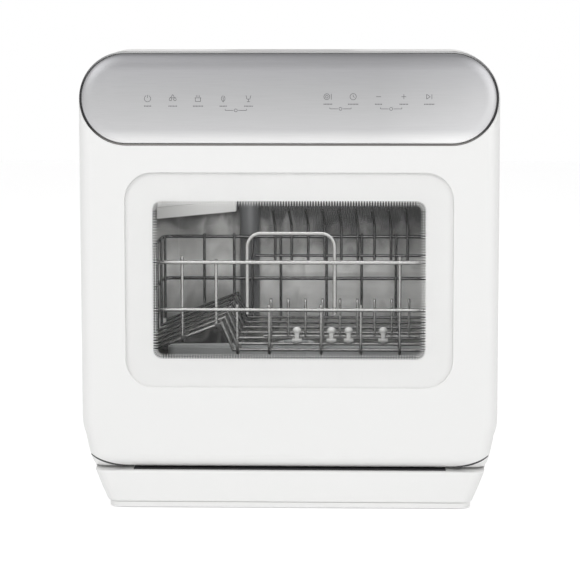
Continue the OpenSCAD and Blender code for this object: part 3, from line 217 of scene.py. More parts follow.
def mark_ink(tree):
    # Screen printed epoxy ink: thin dark grey lines, a little lighter where the metal's grain comes through
    colour = add(tree, "ShaderNodeMix", {
        0: grain(tree, (6.0, 0.5, 0.5)), 6: linear("#4A4A4C"), 7: linear("#606062")}, data_type="RGBA")
    return add(tree, "ShaderNodeBsdfPrincipled", {"Base Color": colour.outputs[2], "Roughness": 0.5, "IOR": 1.5})


def window_glass(tree):
    # Float glass, tempered and coated against glare: clear, with a sharp reflection only towards grazing
    through = add(tree, "ShaderNodeBsdfTransparent", {"Color": linear("#FEFEFE")})
    mirror = add(tree, "ShaderNodeBsdfGlossy", {"Color": linear(WHITE), "Roughness": 0.02})
    edge = add(tree, "ShaderNodeFresnel", {"IOR": 1.16})
    return add(tree, "ShaderNodeMixShader", {
        0: edge.outputs["Fac"], 1: through.outputs["BSDF"], 2: mirror.outputs["BSDF"]})


def coated_wire(tree):
    # Steel wire, nickelled and dipped in clear nylon. Painted light and shade: its colour is bright at the rack's
    # front, where light comes in through the window, and duller towards its back, in shade
    skin = grain(tree, (3.0,) * 3)
    # a painted lit colour for the front and a painted shaded one for the back
    bright, dull = [
        add(tree, "ShaderNodeMix", {0: skin, 6: linear(dark), 7: linear(light)}, data_type="RGBA").outputs[2]
        for dark, light in (("#8C8C8B", "#A8A8A6"), ("#4C4C4C", "#686868"))]
    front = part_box("basket_rims")[0].y
    # painted shade: from the lit colour at the rack's front to the shaded one further back
    inward = along(tree, "Y", front + 12 * MM, front + 220 * MM)
    colour = add(tree, "ShaderNodeMix", {0: inward, 6: bright, 7: dull}, data_type="RGBA")
    gloss = add(tree, "ShaderNodeMapRange", {"Value": skin, "To Min": 0.18, "To Max": 0.3})
    runs = add(tree, "ShaderNodeBump", {"Height": skin, "Distance": 0.03 * MM, "Strength": 0.15})
    return add(tree, "ShaderNodeBsdfPrincipled", {
        "Metallic": 0.85, "Base Color": colour.outputs[2], "Roughness": gloss.outputs["Result"],
        "Normal": runs.outputs["Normal"]})


def tub_steel(tree):
    # Stainless sheet, drawn and brushed. Painted reflection and shade: its colour is pale at half height, darker and
    # wavy towards the roof and the floor, its bands a little higher on the left; a matt floor mirrors little
    low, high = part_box("tub")
    wave = grain(tree, (26.0, 60.0, 40.0), 1.5, 1.2)
    # painted reflection and shade: colour follows height, shifted on the left and made wavy by the noise that also
    # dents the steel
    level = add(tree, "ShaderNodeMath", {
        0: along(tree, "Z", low.z, high.z), 1: along(tree, "X", -90 * MM, -40 * MM, -0.06, 0.0)}, operation="ADD")
    painted_reflection_height = add(tree, "ShaderNodeMath", {0: wave, 1: 0.22, 2: level.outputs[0]}, operation="MULTIPLY_ADD")
    ramp = add(tree, "ShaderNodeValToRGB", {"Fac": painted_reflection_height.outputs[0]}, stops=(
        (0.0, "#2E2E2E"), (0.12, "#424241"), (0.2, "#929290"), (0.38, "#EDEDEB"), (0.47, "#D8D8D6"),
        (0.56, "#B4B4B2"), (0.64, "#747473"), (0.71, "#363636"), (1.0, "#2C2C2C")))
    lines = grain(tree, (40.0, 40.0, 0.8), 3.0)
    streak = add(tree, "ShaderNodeMapRange", {"Value": lines, "To Min": 0.9, "To Max": 1.06})
    colour = add(tree, "ShaderNodeMix", {0: 1.0, 6: ramp.outputs["Color"], 7: streak.outputs["Result"]},
                 data_type="RGBA", blend_type="MULTIPLY")
    brushing = add(tree, "ShaderNodeMapRange", {"Value": lines, "To Min": 0.28, "To Max": 0.42})
    matt = along(tree, "Z", low.z + 2 * MM, low.z + 9 * MM, 0.4, 0.0)
    gloss = add(tree, "ShaderNodeMath", {0: brushing.outputs["Result"], 1: matt}, operation="ADD")
    dents = add(tree, "ShaderNodeBump", {"Height": wave, "Distance": 0.8 * MM, "Strength": 0.35})
    return add(tree, "ShaderNodeBsdfPrincipled", {
        "Metallic": 0.6, "Base Color": colour.outputs[2], "Roughness": gloss.outputs[0],
        "Normal": dents.outputs["Normal"]})


def worktop(tree):
    # Matt white laminate: bright where nothing stands on it, so only the shadow tells
    gloss = add(tree, "ShaderNodeMapRange", {"Value": grain(tree, (4.0,) * 3), "To Min": 0.75, "To Max": 0.85})
    plain = add(tree, "ShaderNodeBsdfPrincipled", {
        "Base Color": linear("#FAFAFA"), "Roughness": gloss.outputs["Result"]})
    dark = add(tree, "ShaderNodeEmission", {"Color": linear(BLACK), "Strength": 0.0})
    glow = add(tree, "ShaderNodeEmission", {"Color": linear(WHITE), "Strength": 0.45})
    lift = add(tree, "ShaderNodeMixShader", {0: looked_at(tree), 1: dark.outputs[0], 2: glow.outputs[0]})
    return add(tree, "ShaderNodeAddShader", {0: plain.outputs[0], 1: lift.outputs[0]})


FINISHES = {
    "steel_powder_coated": powder_coat,
    "abs_moulded_white": moulded_white,
    "aluminium_brushed_anodised": panel_metal,
    "zinc_smoked_chrome": trim_chrome,
    "ceramic_frit_fired_white": glass_print,
    "epoxy_ink_printed_grey": mark_ink,
    "glass_tempered_clear": window_glass,
    "steel_wire_nickelled": coated_wire,
    "stainless_sheet_drawn": tub_steel,
    "laminate_matt_white": worktop,
    # Stainless sheet, cold rolled and brushed: grey, with long soft reflections
    "stainless_sheet_brushed": lambda tree: brushed(tree, "#7C7D7C", "#9B9C9B", 0.3, (18.0, 18.0, 0.7)),
    # Galvanised sheet: dull grey with cloudy patches
    "steel_galvanised": lambda tree: brushed(tree, "#A3A6A8", "#BDBFC0", 0.45, (9.0, 9.0, 9.0)),
    # Zinc plated screws and pins: pale and bright
    "steel_zinc_plated": lambda tree: drawn(tree, "#C9CACC", 0.25),
    # Oiled spring wire: dark, with a wet gloss
    "spring_wire_oiled": lambda tree: drawn(tree, "#5C5D60", 0.35),
    # Grey polypropylene from a textured mould: dull and waxy
    "polypropylene_moulded_grey": lambda tree: moulded(tree, "#B4B6B6", 0.45),
    # Slate grey polypropylene of the duct up the back: smoother, with broad soft dents
    "polypropylene_moulded_slate": lambda tree: moulded(tree, "#68696A", 0.3, 3.0),
    # Pale polypropylene of the air hood and the comb's clips: off-white and waxy
    "polypropylene_moulded_pale": lambda tree: moulded(tree, "#D6D6D4", 0.4),
    # Black glass-filled nylon of pumps and fan: matt, with a fine tooth
    "nylon_glass_filled_black": lambda tree: moulded(tree, "#2A2B2D", 0.5),
    # EPDM rubber: matt, almost black
    "rubber_epdm_moulded": lambda tree: moulded(tree, "#3A3A3C", 0.7, 0.8, 0.1),
    # Blow-moulded polypropylene of the tank: milky
    "polypropylene_blow_moulded_milky": lambda tree: moulded(tree, "#DDE5E6", 0.4),
    # Glass-fibre board with green solder mask: glossy green over a fine weave
    "fr4_green_solder_mask": lambda tree: moulded(tree, "#2E6B47", 0.3, 2.0, 0.03),
    # White acetal of lock, float and glides: a little glossier than the housings
    "acetal_moulded_white": lambda tree: moulded(tree, "#EDEDEB", 0.32),
}

CARRIED_OVER = {
    "steel_powder_coated": ("cabinet_wrap",),
    "abs_moulded_white": ("base_tray", "base_skirt", "plinth", "fill_funnel", "fill_lid", "inlet_valve",
                          "door_shell"),
    "steel_galvanised": ("rear_cover", "hinge_brackets", "hinge_arms", "lock_strike"),
    "steel_zinc_plated": ("rear_screws", "hinge_pins"),
    "spring_wire_oiled": ("hinge_springs",),
    "rubber_epdm_moulded": ("rubber_feet", "door_gasket", "pane_gasket", "sump_hose", "drain_hose", "tank_hose"),
    "stainless_sheet_drawn": ("tub",),
    "stainless_sheet_brushed": ("door_liner", "filter_plate", "sump_heater"),
    "polypropylene_moulded_slate": ("riser_duct",),
    "polypropylene_moulded_grey": ("basket_rails", "arm_post", "spray_arm", "filter_cup", "drain_spigot",
                                   "tank_saddles", "tub_frame", "dispenser_cup", "dispenser_lid"),
    "polypropylene_moulded_pale": ("drying_hood",),
    "nylon_glass_filled_black": ("fan_housing", "fan_rotor", "sump", "wash_pump", "drain_pump", "cord_gland",
                                 "door_pull"),
    "polypropylene_blow_moulded_milky": ("water_tank",),
    "fr4_green_solder_mask": ("power_board", "control_board"),
    "acetal_moulded_white": ("door_lock", "overflow_float", "comb_clips", "basket_glides"),
    "steel_wire_nickelled": ("basket_rims", "basket_stringers", "basket_ribs", "basket_handle", "rear_comb",
                             "plate_comb"),
    "glass_tempered_clear": ("door_glass", "inner_pane"),
    "aluminium_brushed_anodised": ("control_panel",),
    "zinc_smoked_chrome": ("panel_trim",),
}

made_finishes = {}


def finish(name):
    """The material of that name, made the first time it is asked for"""
    if name not in made_finishes:
        made = bpy.data.materials.new(name)
        made.use_nodes = True
        made.node_tree.nodes.clear()
        surface = FINISHES[name](made.node_tree)
        add(made.node_tree, "ShaderNodeOutputMaterial", {"Surface": surface.outputs[0]})
        made_finishes[name] = made
    return made_finishes[name]


# ---------------------------------------------------------------- sizes a user would change

class DishwasherSizes(PropertyGroup):
    coat_colour: StringProperty(name="Coat", default="#F2F2F1",
        description="Colour of the painted cabinet, as sRGB hex")
    moulded_colour: StringProperty(name="Mouldings", default="#F1F1F0",
        description="Colour of the moulded white pieces, as sRGB hex")
    camera_distance: FloatProperty(name="Distance", default=1.9, unit="LENGTH",
        description="From the camera to the door")
    camera_x: FloatProperty(name="Camera to the right", default=0.078, unit="LENGTH",
        description="The camera's place right of the middle")
    camera_z: FloatProperty(name="Camera height", default=0.46, unit="LENGTH",
        description="The camera's height above the worktop")
    camera_tilt: FloatProperty(name="Camera tilt", default=math.radians(5.35), subtype="ANGLE", unit="ROTATION",
        description="How far the camera looks down")
    camera_turn: FloatProperty(name="Camera turn", default=math.radians(1.468), subtype="ANGLE", unit="ROTATION",
        description="How far the camera looks to the left")
    shift_x: FloatProperty(name="Shift across", default=-0.0483,
        description="Sideways shift of the lens, as a share of the view")
    shift_z: FloatProperty(name="Shift up", default=-0.1,
        description="Upward shift of the lens, as a share of the view")
    trim_width: FloatProperty(name="Ring width", default=1.3 * MM, unit="LENGTH",
        description="Width of the ring round the control panel")
    trim_depth: FloatProperty(name="Ring depth", default=3 * MM, unit="LENGTH",
        description="Depth of the ring round the control panel")
    trim_gap: FloatProperty(name="Ring gap", default=0.4 * MM, unit="LENGTH",
        description="Gap between the ring and the control panel")
    panel_roll: FloatProperty(name="Panel roll", default=13 * MM, unit="LENGTH",
        description="Width of the panel's rolled edge")
    panel_roll_depth: FloatProperty(name="Roll depth", default=4.2 * MM, unit="LENGTH",
        description="How far the rolled edge falls back")
    panel_crown: FloatProperty(name="Panel crown", default=0.9 * MM, unit="LENGTH",
        description="Height of the panel's crown inside its roll")
    plinth_edge: FloatProperty(name="Plinth edge", default=2.5 * MM, unit="LENGTH",
        description="Rounding of the plinth's front edges")
    flank_height: FloatProperty(name="Flank height", default=116 * MM, unit="LENGTH",
        description="Height at which the sides start to tuck in")
    flank_radius: FloatProperty(name="Flank radius", default=245 * MM, unit="LENGTH",
        description="Radius of the tucked-in sides")
    door_corner: FloatProperty(name="Door corner", default=48 * MM, unit="LENGTH",
        description="Corner radius of the door")
    plinth_flank: FloatProperty(name="Plinth flank", default=12 * MM, unit="LENGTH",
        description="Rounding of the plinth's front at the flanks")
    door_edge: FloatProperty(name="Door edge", default=12 * MM, unit="LENGTH",
        description="Rounding of the door's front at the flanks")
    hinge_inward: FloatProperty(name="Hinge inward", default=20 * MM, unit="LENGTH",
        description="From the door's face, and from its lower edge, to the hinge's axis")
    plinth_drop: FloatProperty(name="Plinth drop", default=6.1 * MM, unit="LENGTH",
        description="From the door's lower edge down to the plinth's top")
    toe_drop: FloatProperty(name="Toe drop", default=4.3 * MM, unit="LENGTH",
        description="How far the toe reaches under the door's lower edge")
    toe_height: FloatProperty(name="Toe height", default=16.3 * MM, unit="LENGTH",
        description="Height of the curve that rolls under the door")
    toe_depth: FloatProperty(name="Toe depth", default=18 * MM, unit="LENGTH",
        description="How far the toe's flanks reach back from the hinge's axis")
    hinge_place: FloatProperty(name="Hinge place", default=170 * MM, unit="LENGTH",
        description="Distance of the hinge plates from the middle")
    hinge_slot: FloatProperty(name="Slot front", default=7.8 * MM, unit="LENGTH",
        description="How far the hinge slots reach in front of the axis")
    slot_width: FloatProperty(name="Slot width", default=7 * MM, unit="LENGTH",
        description="Width of the hinge slots")
    # the dark line on the toe's ends is painted shade: a dark strip put where the gap holds only shade
    toe_start: FloatProperty(name="Joint start", default=158 * MM, unit="LENGTH",
        description="Distance from the middle where the dark joint starts to rise")
    toe_rise: FloatProperty(name="Joint rise", default=15 * MM, unit="LENGTH",
        description="How far the dark joint rises to the flanks")
    toe_shade_line: FloatProperty(name="Joint width", default=2.9 * MM, unit="LENGTH",
        description="Width of the dark joint")
    clip_head: FloatProperty(name="Clip head", default=4.6 * MM, unit="LENGTH",
        description="Radius of a comb clip's round head")
    clip_stem: FloatProperty(name="Clip stem", default=4.4 * MM, unit="LENGTH",
        description="Width of a comb clip's stem")
    clip_foot: FloatProperty(name="Clip foot", default=2.8 * MM, unit="LENGTH",
        description="Height of a comb clip's foot")
    print_side: FloatProperty(name="Print at the sides", default=27.2 * MM, unit="LENGTH",
        description="Width of the white print beside the clear view")
    print_top: FloatProperty(name="Print above", default=28.4 * MM, unit="LENGTH",
        description="Width of the white print above and below the clear view")
    glass_radius: FloatProperty(name="Glass corner", default=28 * MM, unit="LENGTH",
        description="Corner radius of the front glass")
    view_radius: FloatProperty(name="View corner", default=9 * MM, unit="LENGTH",
        description="Corner radius of the clear view")
    dot_pitch: FloatProperty(name="Dot pitch", default=2.7 * MM, unit="LENGTH",
        description="Distance between two dots of the print's border")
    stroke: FloatProperty(name="Stroke", default=0.5 * MM, unit="LENGTH",
        description="Width of a printed line on the panel")
    mark_pitch: FloatProperty(name="Mark pitch", default=25 * MM, unit="LENGTH",
        description="Distance between two printed marks")
    mark_drop: FloatProperty(name="Dash drop", default=7.4 * MM, unit="LENGTH",
        description="From a mark's middle down to its row of dashes")
    dash_pitch: FloatProperty(name="Dash pitch", default=1.5 * MM, unit="LENGTH",
        description="Distance between two printed dashes")
    dash_size: FloatProperty(name="Dash size", default=1.0 * MM, unit="LENGTH",
        description="Width and height of a printed dash")
    marks_left: FloatProperty(name="First mark on the left", default=-139.5 * MM, unit="LENGTH",
        description="Place of the left group's first mark across the panel")
    marks_right: FloatProperty(name="First mark on the right", default=39 * MM, unit="LENGTH",
        description="Place of the right group's first mark across the panel")
    frame_width: FloatProperty(name="Frame width", default=0.5737, unit="LENGTH",
        description="Width of the camera's view at the door")


def sizes():
    return bpy.context.scene.dishwasher


# ---------------------------------------------------------------- shapes

def quarter(radius, parts):
    """How far a quarter round has turned inward at even steps of its angle"""
    return [radius * (1 - math.cos(math.radians(90 * k / parts))) for k in range(parts + 1)]


def rounded(bm, x0, x1, z0, z1, radius, segments=10):
    """A face in the plane y = 0 with round corners"""
    corners = bmesh.ops.create_grid(bm, x_segments=1, y_segments=1, size=0.5)["verts"]
    place = Matrix.Translation(((x0 + x1) / 2, 0, (z0 + z1) / 2)) @ Matrix.Diagonal((x1 - x0, 1, z1 - z0, 1))
    bmesh.ops.transform(bm, matrix=place @ Matrix.Rotation(math.radians(90), 4, "X"), verts=corners)
    made = bmesh.ops.bevel(bm, geom=corners, offset=radius, offset_type="OFFSET", segments=segments, profile=0.5,
                           affect="VERTICES", clamp_overlap=True, material=-1)
    face = next(f for f in bm.faces if f.is_valid and set(made["verts"]) & set(f.verts))
    face.normal_update()
    if face.normal.y > 0:
        face.normal_flip()
    return face


def crowned(bm, x0, x1, z0, z1, radius, steps, back, segments=24):
    """A round-cornered face built up in steps; each is how far inward and how far forward its loop lies"""
    loops, spare = [], []
    for inward, forward in steps:
        face = rounded(bm, x0 + inward, x1 - inward, z0 + inward, z1 - inward, radius - inward, segments)
        bmesh.ops.translate(bm, vec=(0, back - forward, 0), verts=face.verts)
        loops.append(list(face.edges))
        spare.append(face)
    bmesh.ops.delete(bm, geom=spare[:-1], context="FACES_ONLY")
    for a, b in zip(loops, loops[1:]):
        bmesh.ops.bridge_loops(bm, edges=a + b)
    bmesh.ops.recalc_face_normals(bm, faces=bm.faces)
    if spare[-1].normal.y > 0:
        bmesh.ops.reverse_faces(bm, faces=bm.faces)


def ring(bm, outer, inner):
    """The flat band between two round-cornered faces, which it uses up"""
    edges = list(outer.edges) + list(inner.edges)
    bmesh.ops.delete(bm, geom=[outer, inner], context="FACES_ONLY")
    return bmesh.ops.bridge_loops(bm, edges=edges)["faces"]


def lattice(bm, rows):
    """A grid whose crossings are moved to the places given row by row"""
    crossings = bmesh.ops.create_grid(bm, x_segments=len(rows[0]) - 1, y_segments=len(rows) - 1, size=1)["verts"]
    crossings.sort(key=lambda v: (round(v.co.y, 4), v.co.x))
    for vert, place in zip(crossings, [place for row in rows for place in row]):
        vert.co = place


def half_width(z):
    """Half the body's width at a height: the flanks tuck in below a certain height"""
    s = sizes()
    drop = max(0.0, s.flank_height - z)
    return HIGH.x - (s.flank_radius - math.sqrt(s.flank_radius ** 2 - drop ** 2))


def fall(distance, radius):
    """How far a rounded edge falls back at a distance from its rim"""
    inside = max(0.0, radius - max(0.0, distance))
    return radius - math.sqrt(max(0.0, radius ** 2 - inside ** 2))


def front_form(bm, heights, depth, edge, back):
    """A front of the body's full width: depth(z) gives its section, and edge rounds its flanks"""
    inward = quarter(edge, 10)
    rows = []
    for z in heights:
        reach = half_width(z)
        across = [-reach + d for d in inward] + [reach - d for d in reversed(inward)]
        rows.append([(x, min(back(z), depth(z) + fall(reach - abs(x), edge)), z) for x in across])
    lattice(bm, rows)
    rim = [e for e in bm.edges if e.is_boundary]
    for vert in bmesh.ops.extrude_edge_only(bm, edges=rim)["geom"]:
        if isinstance(vert, bmesh.types.BMVert):
            vert.co.y = back(vert.co.z)
    bmesh.ops.remove_doubles(bm, verts=bm.verts, dist=MM / 100)
    bmesh.ops.recalc_face_normals(bm, faces=bm.faces)


def hinge_axis():
    """The door turns about a line as far behind its face as above its lower edge"""
    inward = Vector((0, sizes().hinge_inward, sizes().hinge_inward))
    return Vector((0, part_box("door_shell")[0].y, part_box("door_shell")[0].z)) + inward


def piece(name, bm, body, coat, smooth=None):
    """Turns a bmesh into a finished piece that rides on a body; edges up to smooth degrees look soft"""
    data = bpy.data.meshes.new(name)
    bm.to_mesh(data)
    bm.free()
    made = bpy.data.objects.new(name, data)
    bpy.context.scene.collection.objects.link(made)
    data.materials.append(finish(coat))
    if smooth is not None:
        data.shade_smooth()
        data.set_sharp_from_angle(angle=math.radians(smooth))
    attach(made, body)
    return made


# ---------------------------------------------------------------- operators

class StageOperator(Operator):
    """Makes the worktop, the soft light and the camera"""
    bl_idname = "dishwasher.stage"
    bl_label = "Stage"

    def execute(self, context):
        context.scene.view_settings.view_transform = "Standard"
        self.floor(context)
        self.world(context)
        self.lamps(context)
        self.camera(context)
        return {"FINISHED"}

    def floor(self, context):
        bm = bmesh.new()
        bmesh.ops.create_grid(bm, x_segments=1, y_segments=1, size=6)
        data = bpy.data.meshes.new("floor")
        bm.to_mesh(data)
        bm.free()
        made = bpy.data.objects.new("floor", data)
        context.scene.collection.objects.link(made)
        data.materials.append(finish("laminate_matt_white"))

    def world(self, context):
        world = bpy.data.worlds.new("studio")
        context.scene.world = world
        world.use_nodes = True
        tree = world.node_tree
        tree.nodes.clear()
        soft = add(tree, "ShaderNodeBackground", {"Color": linear(WHITE), "Strength": 0.5})
        white = add(tree, "ShaderNodeBackground", {"Color": linear(WHITE), "Strength": 1.0})
        mixed = add(tree, "ShaderNodeMixShader", {0: looked_at(tree), 1: soft.outputs[0], 2: white.outputs[0]})
        add(tree, "ShaderNodeOutputWorld", {"Surface": mixed.outputs[0]})

    def lamps(self, context):
        """Each lamp has a place, a spot it is aimed at, a size in metres and a power in watts"""
        middle = (0.0, 0.0, 0.23)
        self.lamp(context, "key", (-1.1, -2.2, 1.7), middle, (1.8, 1.8), 20.4)
        self.lamp(context, "fill", (1.5, -2.0, 1.1), middle, (1.8, 1.8), 12.5)
        self.lamp(context, "top", (0.0, 0.2, 2.2), middle, (2.0, 2.0), 9.0)
        # four small lamps inside the closed tub, where the light from outside hardly reaches
        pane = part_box("inner_pane")[1].y + 5 * MM
        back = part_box("tub")[1].y
        self.lamp(context, "window", (0.0, pane, 0.25), (0.0, back, 0.24), (0.26, 0.12), 0.1)
        self.lamp(context, "roof", (0.02, back - 0.2, 0.362), (0.02, back, 0.22), (0.26, 0.1), 0.4)
        self.lamp(context, "rack", (0.0, pane + 4 * MM, 0.345), (0.0, 0.02, 0.11), (0.28, 0.02), 0.16)
        self.lamp(context, "corner", (-0.11, back - 0.09, 0.3), (-0.12, back, 0.31), (0.05, 0.03), 0.016)

    def lamp(self, context, name, place, target, size, power):
        light = bpy.data.lights.new(name, "AREA")
        light.shape = "RECTANGLE"
        light.size, light.size_y = size
        light.energy = power
        made = bpy.data.objects.new(name, light)
        context.scene.collection.objects.link(made)
        made.location = place
        made.rotation_euler = (Vector(target) - Vector(place)).to_track_quat("-Z", "Y").to_euler()
        made.visible_camera = False

    def camera(self, context):
        s = sizes()
        lens = bpy.data.cameras.new("camera")
        lens.sensor_width = 36
        lens.lens = lens.sensor_width * s.camera_distance / s.frame_width
        lens.shift_x, lens.shift_y = s.shift_x, s.shift_z
        lens.clip_start, lens.clip_end = 0.05, 30
        made = bpy.data.objects.new("camera", lens)
        context.scene.collection.objects.link(made)
        made.location = (s.camera_x, FACE - s.camera_distance, s.camera_z)
        made.rotation_euler = (math.radians(90) - s.camera_tilt, 0, s.camera_turn)
        context.scene.camera = made


class FinishesOperator(Operator):
    """Gives every carried-over piece its finish"""
    bl_idname = "dishwasher.finishes"
    bl_label = "Finishes"

    def execute(self, context):
        for name, nodes in CARRIED_OVER.items():
            for node in nodes:
                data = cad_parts[node].data
                data.materials.clear()
                data.materials.append(finish(name))
        return {"FINISHED"}


class PlinthOperator(Operator):
    """Makes the plinth under the door, its two rising ends and a dark rubber strip along its top, a dark sheet
    that stands in for the shade in the gap under the door
    """
    bl_idname = "dishwasher.plinth"
    bl_label = "Plinth"

    def execute(self, context):
        s = sizes()
        low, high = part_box("plinth")
        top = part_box("door_shell")[0].z - s.plinth_drop
        self.front(low, high, top)
        self.shade_strip(low.y + 2 * s.plinth_edge + MM, high.y - MM, top)
        self.ends(high, top)
        return {"FINISHED"}

    def front(self, low, high, top):
        s = sizes()
        edge = s.plinth_edge
        turns = quarter(edge, 6)
        heights = [low.z + t for t in turns] + [low.z + (top - low.z) * k / 5 for k in range(1, 5)]
        heights += [top - t for t in reversed(turns)]
        bm = bmesh.new()
        front_form(bm, heights, lambda z: low.y + fall(min(z - low.z, top - z), edge), s.plinth_flank,
                   lambda z: high.y)
        bmesh.ops.holes_fill(bm, edges=[e for e in bm.edges if e.is_boundary], sides=0)
        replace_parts(piece("plinth_front", bm, "cabinet", "abs_moulded_white", 45), "plinth")

    def shade_strip(self, front, back, top, thickness=0.8 * MM):
        # painted shade: a dark rubber strip put where the gap under the door holds only shade
        bm = bmesh.new()
        place = Matrix.Translation((0, (front + back) / 2, top + thickness / 2))
        size = Matrix.Diagonal((2 * sizes().toe_start, back - front, thickness, 1))
        bmesh.ops.create_cube(bm, size=1, matrix=place @ size)
        piece("plinth_shade_strip", bm, "cabinet", "rubber_epdm_moulded", 30)

    def ends(self, high, top, under=3 * MM):
        """Hollowed towards the door, so that its toe can turn past them"""
        axis = hinge_axis()
        clear = axis.z - top
        bm = bmesh.new()
        for side in (-1, 1):
            rows = []
            for k in range(9):
                z = top + k * (high.z - under - top) / 8
                front = axis.y + math.sqrt(max(0.0, clear ** 2 - (axis.z - z) ** 2))
                inner, outer = side * (half_width(z) - sizes().door_corner), side * half_width(z)
                rows.append([(x, y, z) for x, y in (
                    (inner, front), (outer, front), (outer, high.y), (inner, high.y), (inner, front))])
            lattice(bm, rows)
        bmesh.ops.remove_doubles(bm, verts=bm.verts, dist=MM / 100)
        bmesh.ops.holes_fill(bm, edges=[e for e in bm.edges if e.is_boundary], sides=4)
        bmesh.ops.recalc_face_normals(bm, faces=bm.faces)
        piece("plinth_ends", bm, "cabinet", "abs_moulded_white", 45)


class ToeOperator(Operator):
    """Makes the door's toe, which rolls under the door round its hinge, and a dark rubber line on its ends,
    painted shade that stands in for the gap curving up to the flanks
    """
    bl_idname = "dishwasher.toe"
    bl_label = "Door toe"

    def execute(self, context):
        s = sizes()
        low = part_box("door_shell")[0]
        self.front = low.y - 0.6 * SKIN
        self.axis = hinge_axis()
        self.centre = Vector((0, self.axis.y, low.z - s.toe_drop + s.toe_height))
        turns = [math.radians(90 * k / 14) for k in range(15)]
        heights = [self.centre.z - s.toe_height * math.sin(t) for t in reversed(turns)]
        top = low.z + s.door_corner
        heights += [self.centre.z + (top - self.centre.z) * k / 5 for k in range(1, 6)]
        bm = bmesh.new()
        front_form(bm, heights, self.depth, s.door_edge, self.back)
        self.slots(bm)
        piece("door_toe", bm, "door", "abs_moulded_white", 60)
        # painted shade: a dark rubber line along the gap at the toe's ends
        bm = bmesh.new()
        for side in (-1, 1):
            self.joint(bm, side)
        self.slots(bm)
        bmesh.ops.recalc_face_normals(bm, faces=bm.faces)
        piece("toe_shade_line", bm, "door", "rubber_epdm_moulded", 60)
        return {"FINISHED"}

    def depth(self, z):
        """The toe's front at a height: level with the door, then an ellipse down to its lowest line"""
        down = min(1.0, max(0.0, (self.centre.z - z) / sizes().toe_height))
        return self.centre.y - (self.centre.y - self.front) * math.sqrt(1 - down ** 2)

    def back(self, z):
        """How far back the toe reaches, inside the circle that clears the plinth's ends"""
        reach = self.axis.z - self.centre.z + sizes().toe_height
        inside = math.sqrt(max(0.0, reach ** 2 - max(0.0, self.axis.z - z) ** 2))
        return self.axis.y + min(sizes().toe_depth, inside) + 2 * SKIN

    def slots(self, bm):
        """Cuts the two slots that let the toe turn past the hinge plates"""
        s = sizes()
        front = self.axis.y - s.hinge_slot
        cuts = [((side * (s.hinge_place + wall * s.slot_width / 2), 0, 0), (1, 0, 0))
                for side in (-1, 1) for wall in (-1, 1)]
        for place, normal in cuts + [((0, front, 0), (0, 1, 0))]:
            bmesh.ops.bisect_plane(bm, geom=bm.verts[:] + bm.edges[:] + bm.faces[:], plane_co=place,
                                   plane_no=normal)
        gone = []
        for face in bm.faces:
            middle = face.calc_center_median()
            if (middle.y > front and middle.z < self.axis.z - s.hinge_slot
                    and abs(abs(middle.x) - s.hinge_place) < s.slot_width / 2):
                gone.append(face)
        bmesh.ops.delete(bm, geom=gone, context="FACES")

    def joint(self, bm, side, steps=24):
        """A dark line from the dark strip's end up to the flank, which it meets at its narrowest; painted shade of
        the gap there
        """
        s = sizes()
        lowest = self.centre.z - s.toe_height
        wide, narrow = 1.25 * s.toe_shade_line, 0.65 * s.toe_shade_line
        bend = 2.2
        rows = []
        for k in range(steps + 1):
            share = k / steps
            middle = lowest + 0.5 * MM + s.toe_rise * share ** bend
            width = wide + (narrow - wide) * share
            row = []
            for part in (-0.5, -0.25, 0, 0.25, 0.5):
                z = max(lowest, middle + part * width)
                reach = half_width(z)
                x = s.toe_start + (reach - s.toe_start) * share
                row.append((side * (x + SKIN), self.depth(z) + fall(reach - x, s.door_edge) - SKIN, z))
            rows.append(row)
        lattice(bm, rows)


class ClipsOperator(Operator):
    """Makes the clips of the folding comb: a foot on the rack's wires, a stem and a round snap head"""
    bl_idname = "dishwasher.clips"
    bl_label = "Comb clips"

    def execute(self, context):
        s = sizes()
        low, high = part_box("comb_clips")
        y, depth = (low.y + high.y) / 2, high.y - low.y
        bm = bmesh.new()
        for x in self.places():
            self.block(bm, (x, y, (low.z + high.z) / 2), (s.clip_stem, 0.8 * depth, high.z - low.z))
            self.block(bm, (x, y, low.z + s.clip_foot), (2.2 * s.clip_head, depth, s.clip_foot))
            head = Matrix.Translation((x, y, high.z + 0.3 * s.clip_head)) @ Matrix.Diagonal((1, 1, 0.9, 1))
            bmesh.ops.create_uvsphere(bm, u_segments=20, v_segments=12, radius=s.clip_head, matrix=head)
        made = piece("clip_heads", bm, "basket", "polypropylene_moulded_pale", 40)
        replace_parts(made, "comb_clips")
        return {"FINISHED"}

    def places(self, daylight=10 * MM):
        """The middle of each clip across the rack; at least some daylight lies between two clips"""
        across = sorted(v.co.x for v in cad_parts["comb_clips"].data.vertices)
        groups = [[across[0]]]
        for x in across[1:]:
            if x - groups[-1][-1] > daylight:
                groups.append([])
            groups[-1].append(x)
        return [(group[0] + group[-1]) / 2 for group in groups]

    def block(self, bm, centre, size):
        place = Matrix.Translation(centre) @ Matrix.Diagonal((*size, 1))
        verts = bmesh.ops.create_cube(bm, size=1, matrix=place)["verts"]
        edges = list({e for v in verts for e in v.link_edges})
        bmesh.ops.bevel(bm, geom=edges, offset=0.5 * MM, offset_type="OFFSET", segments=2, profile=0.5,
                        affect="EDGES", material=-1, clamp_overlap=True)


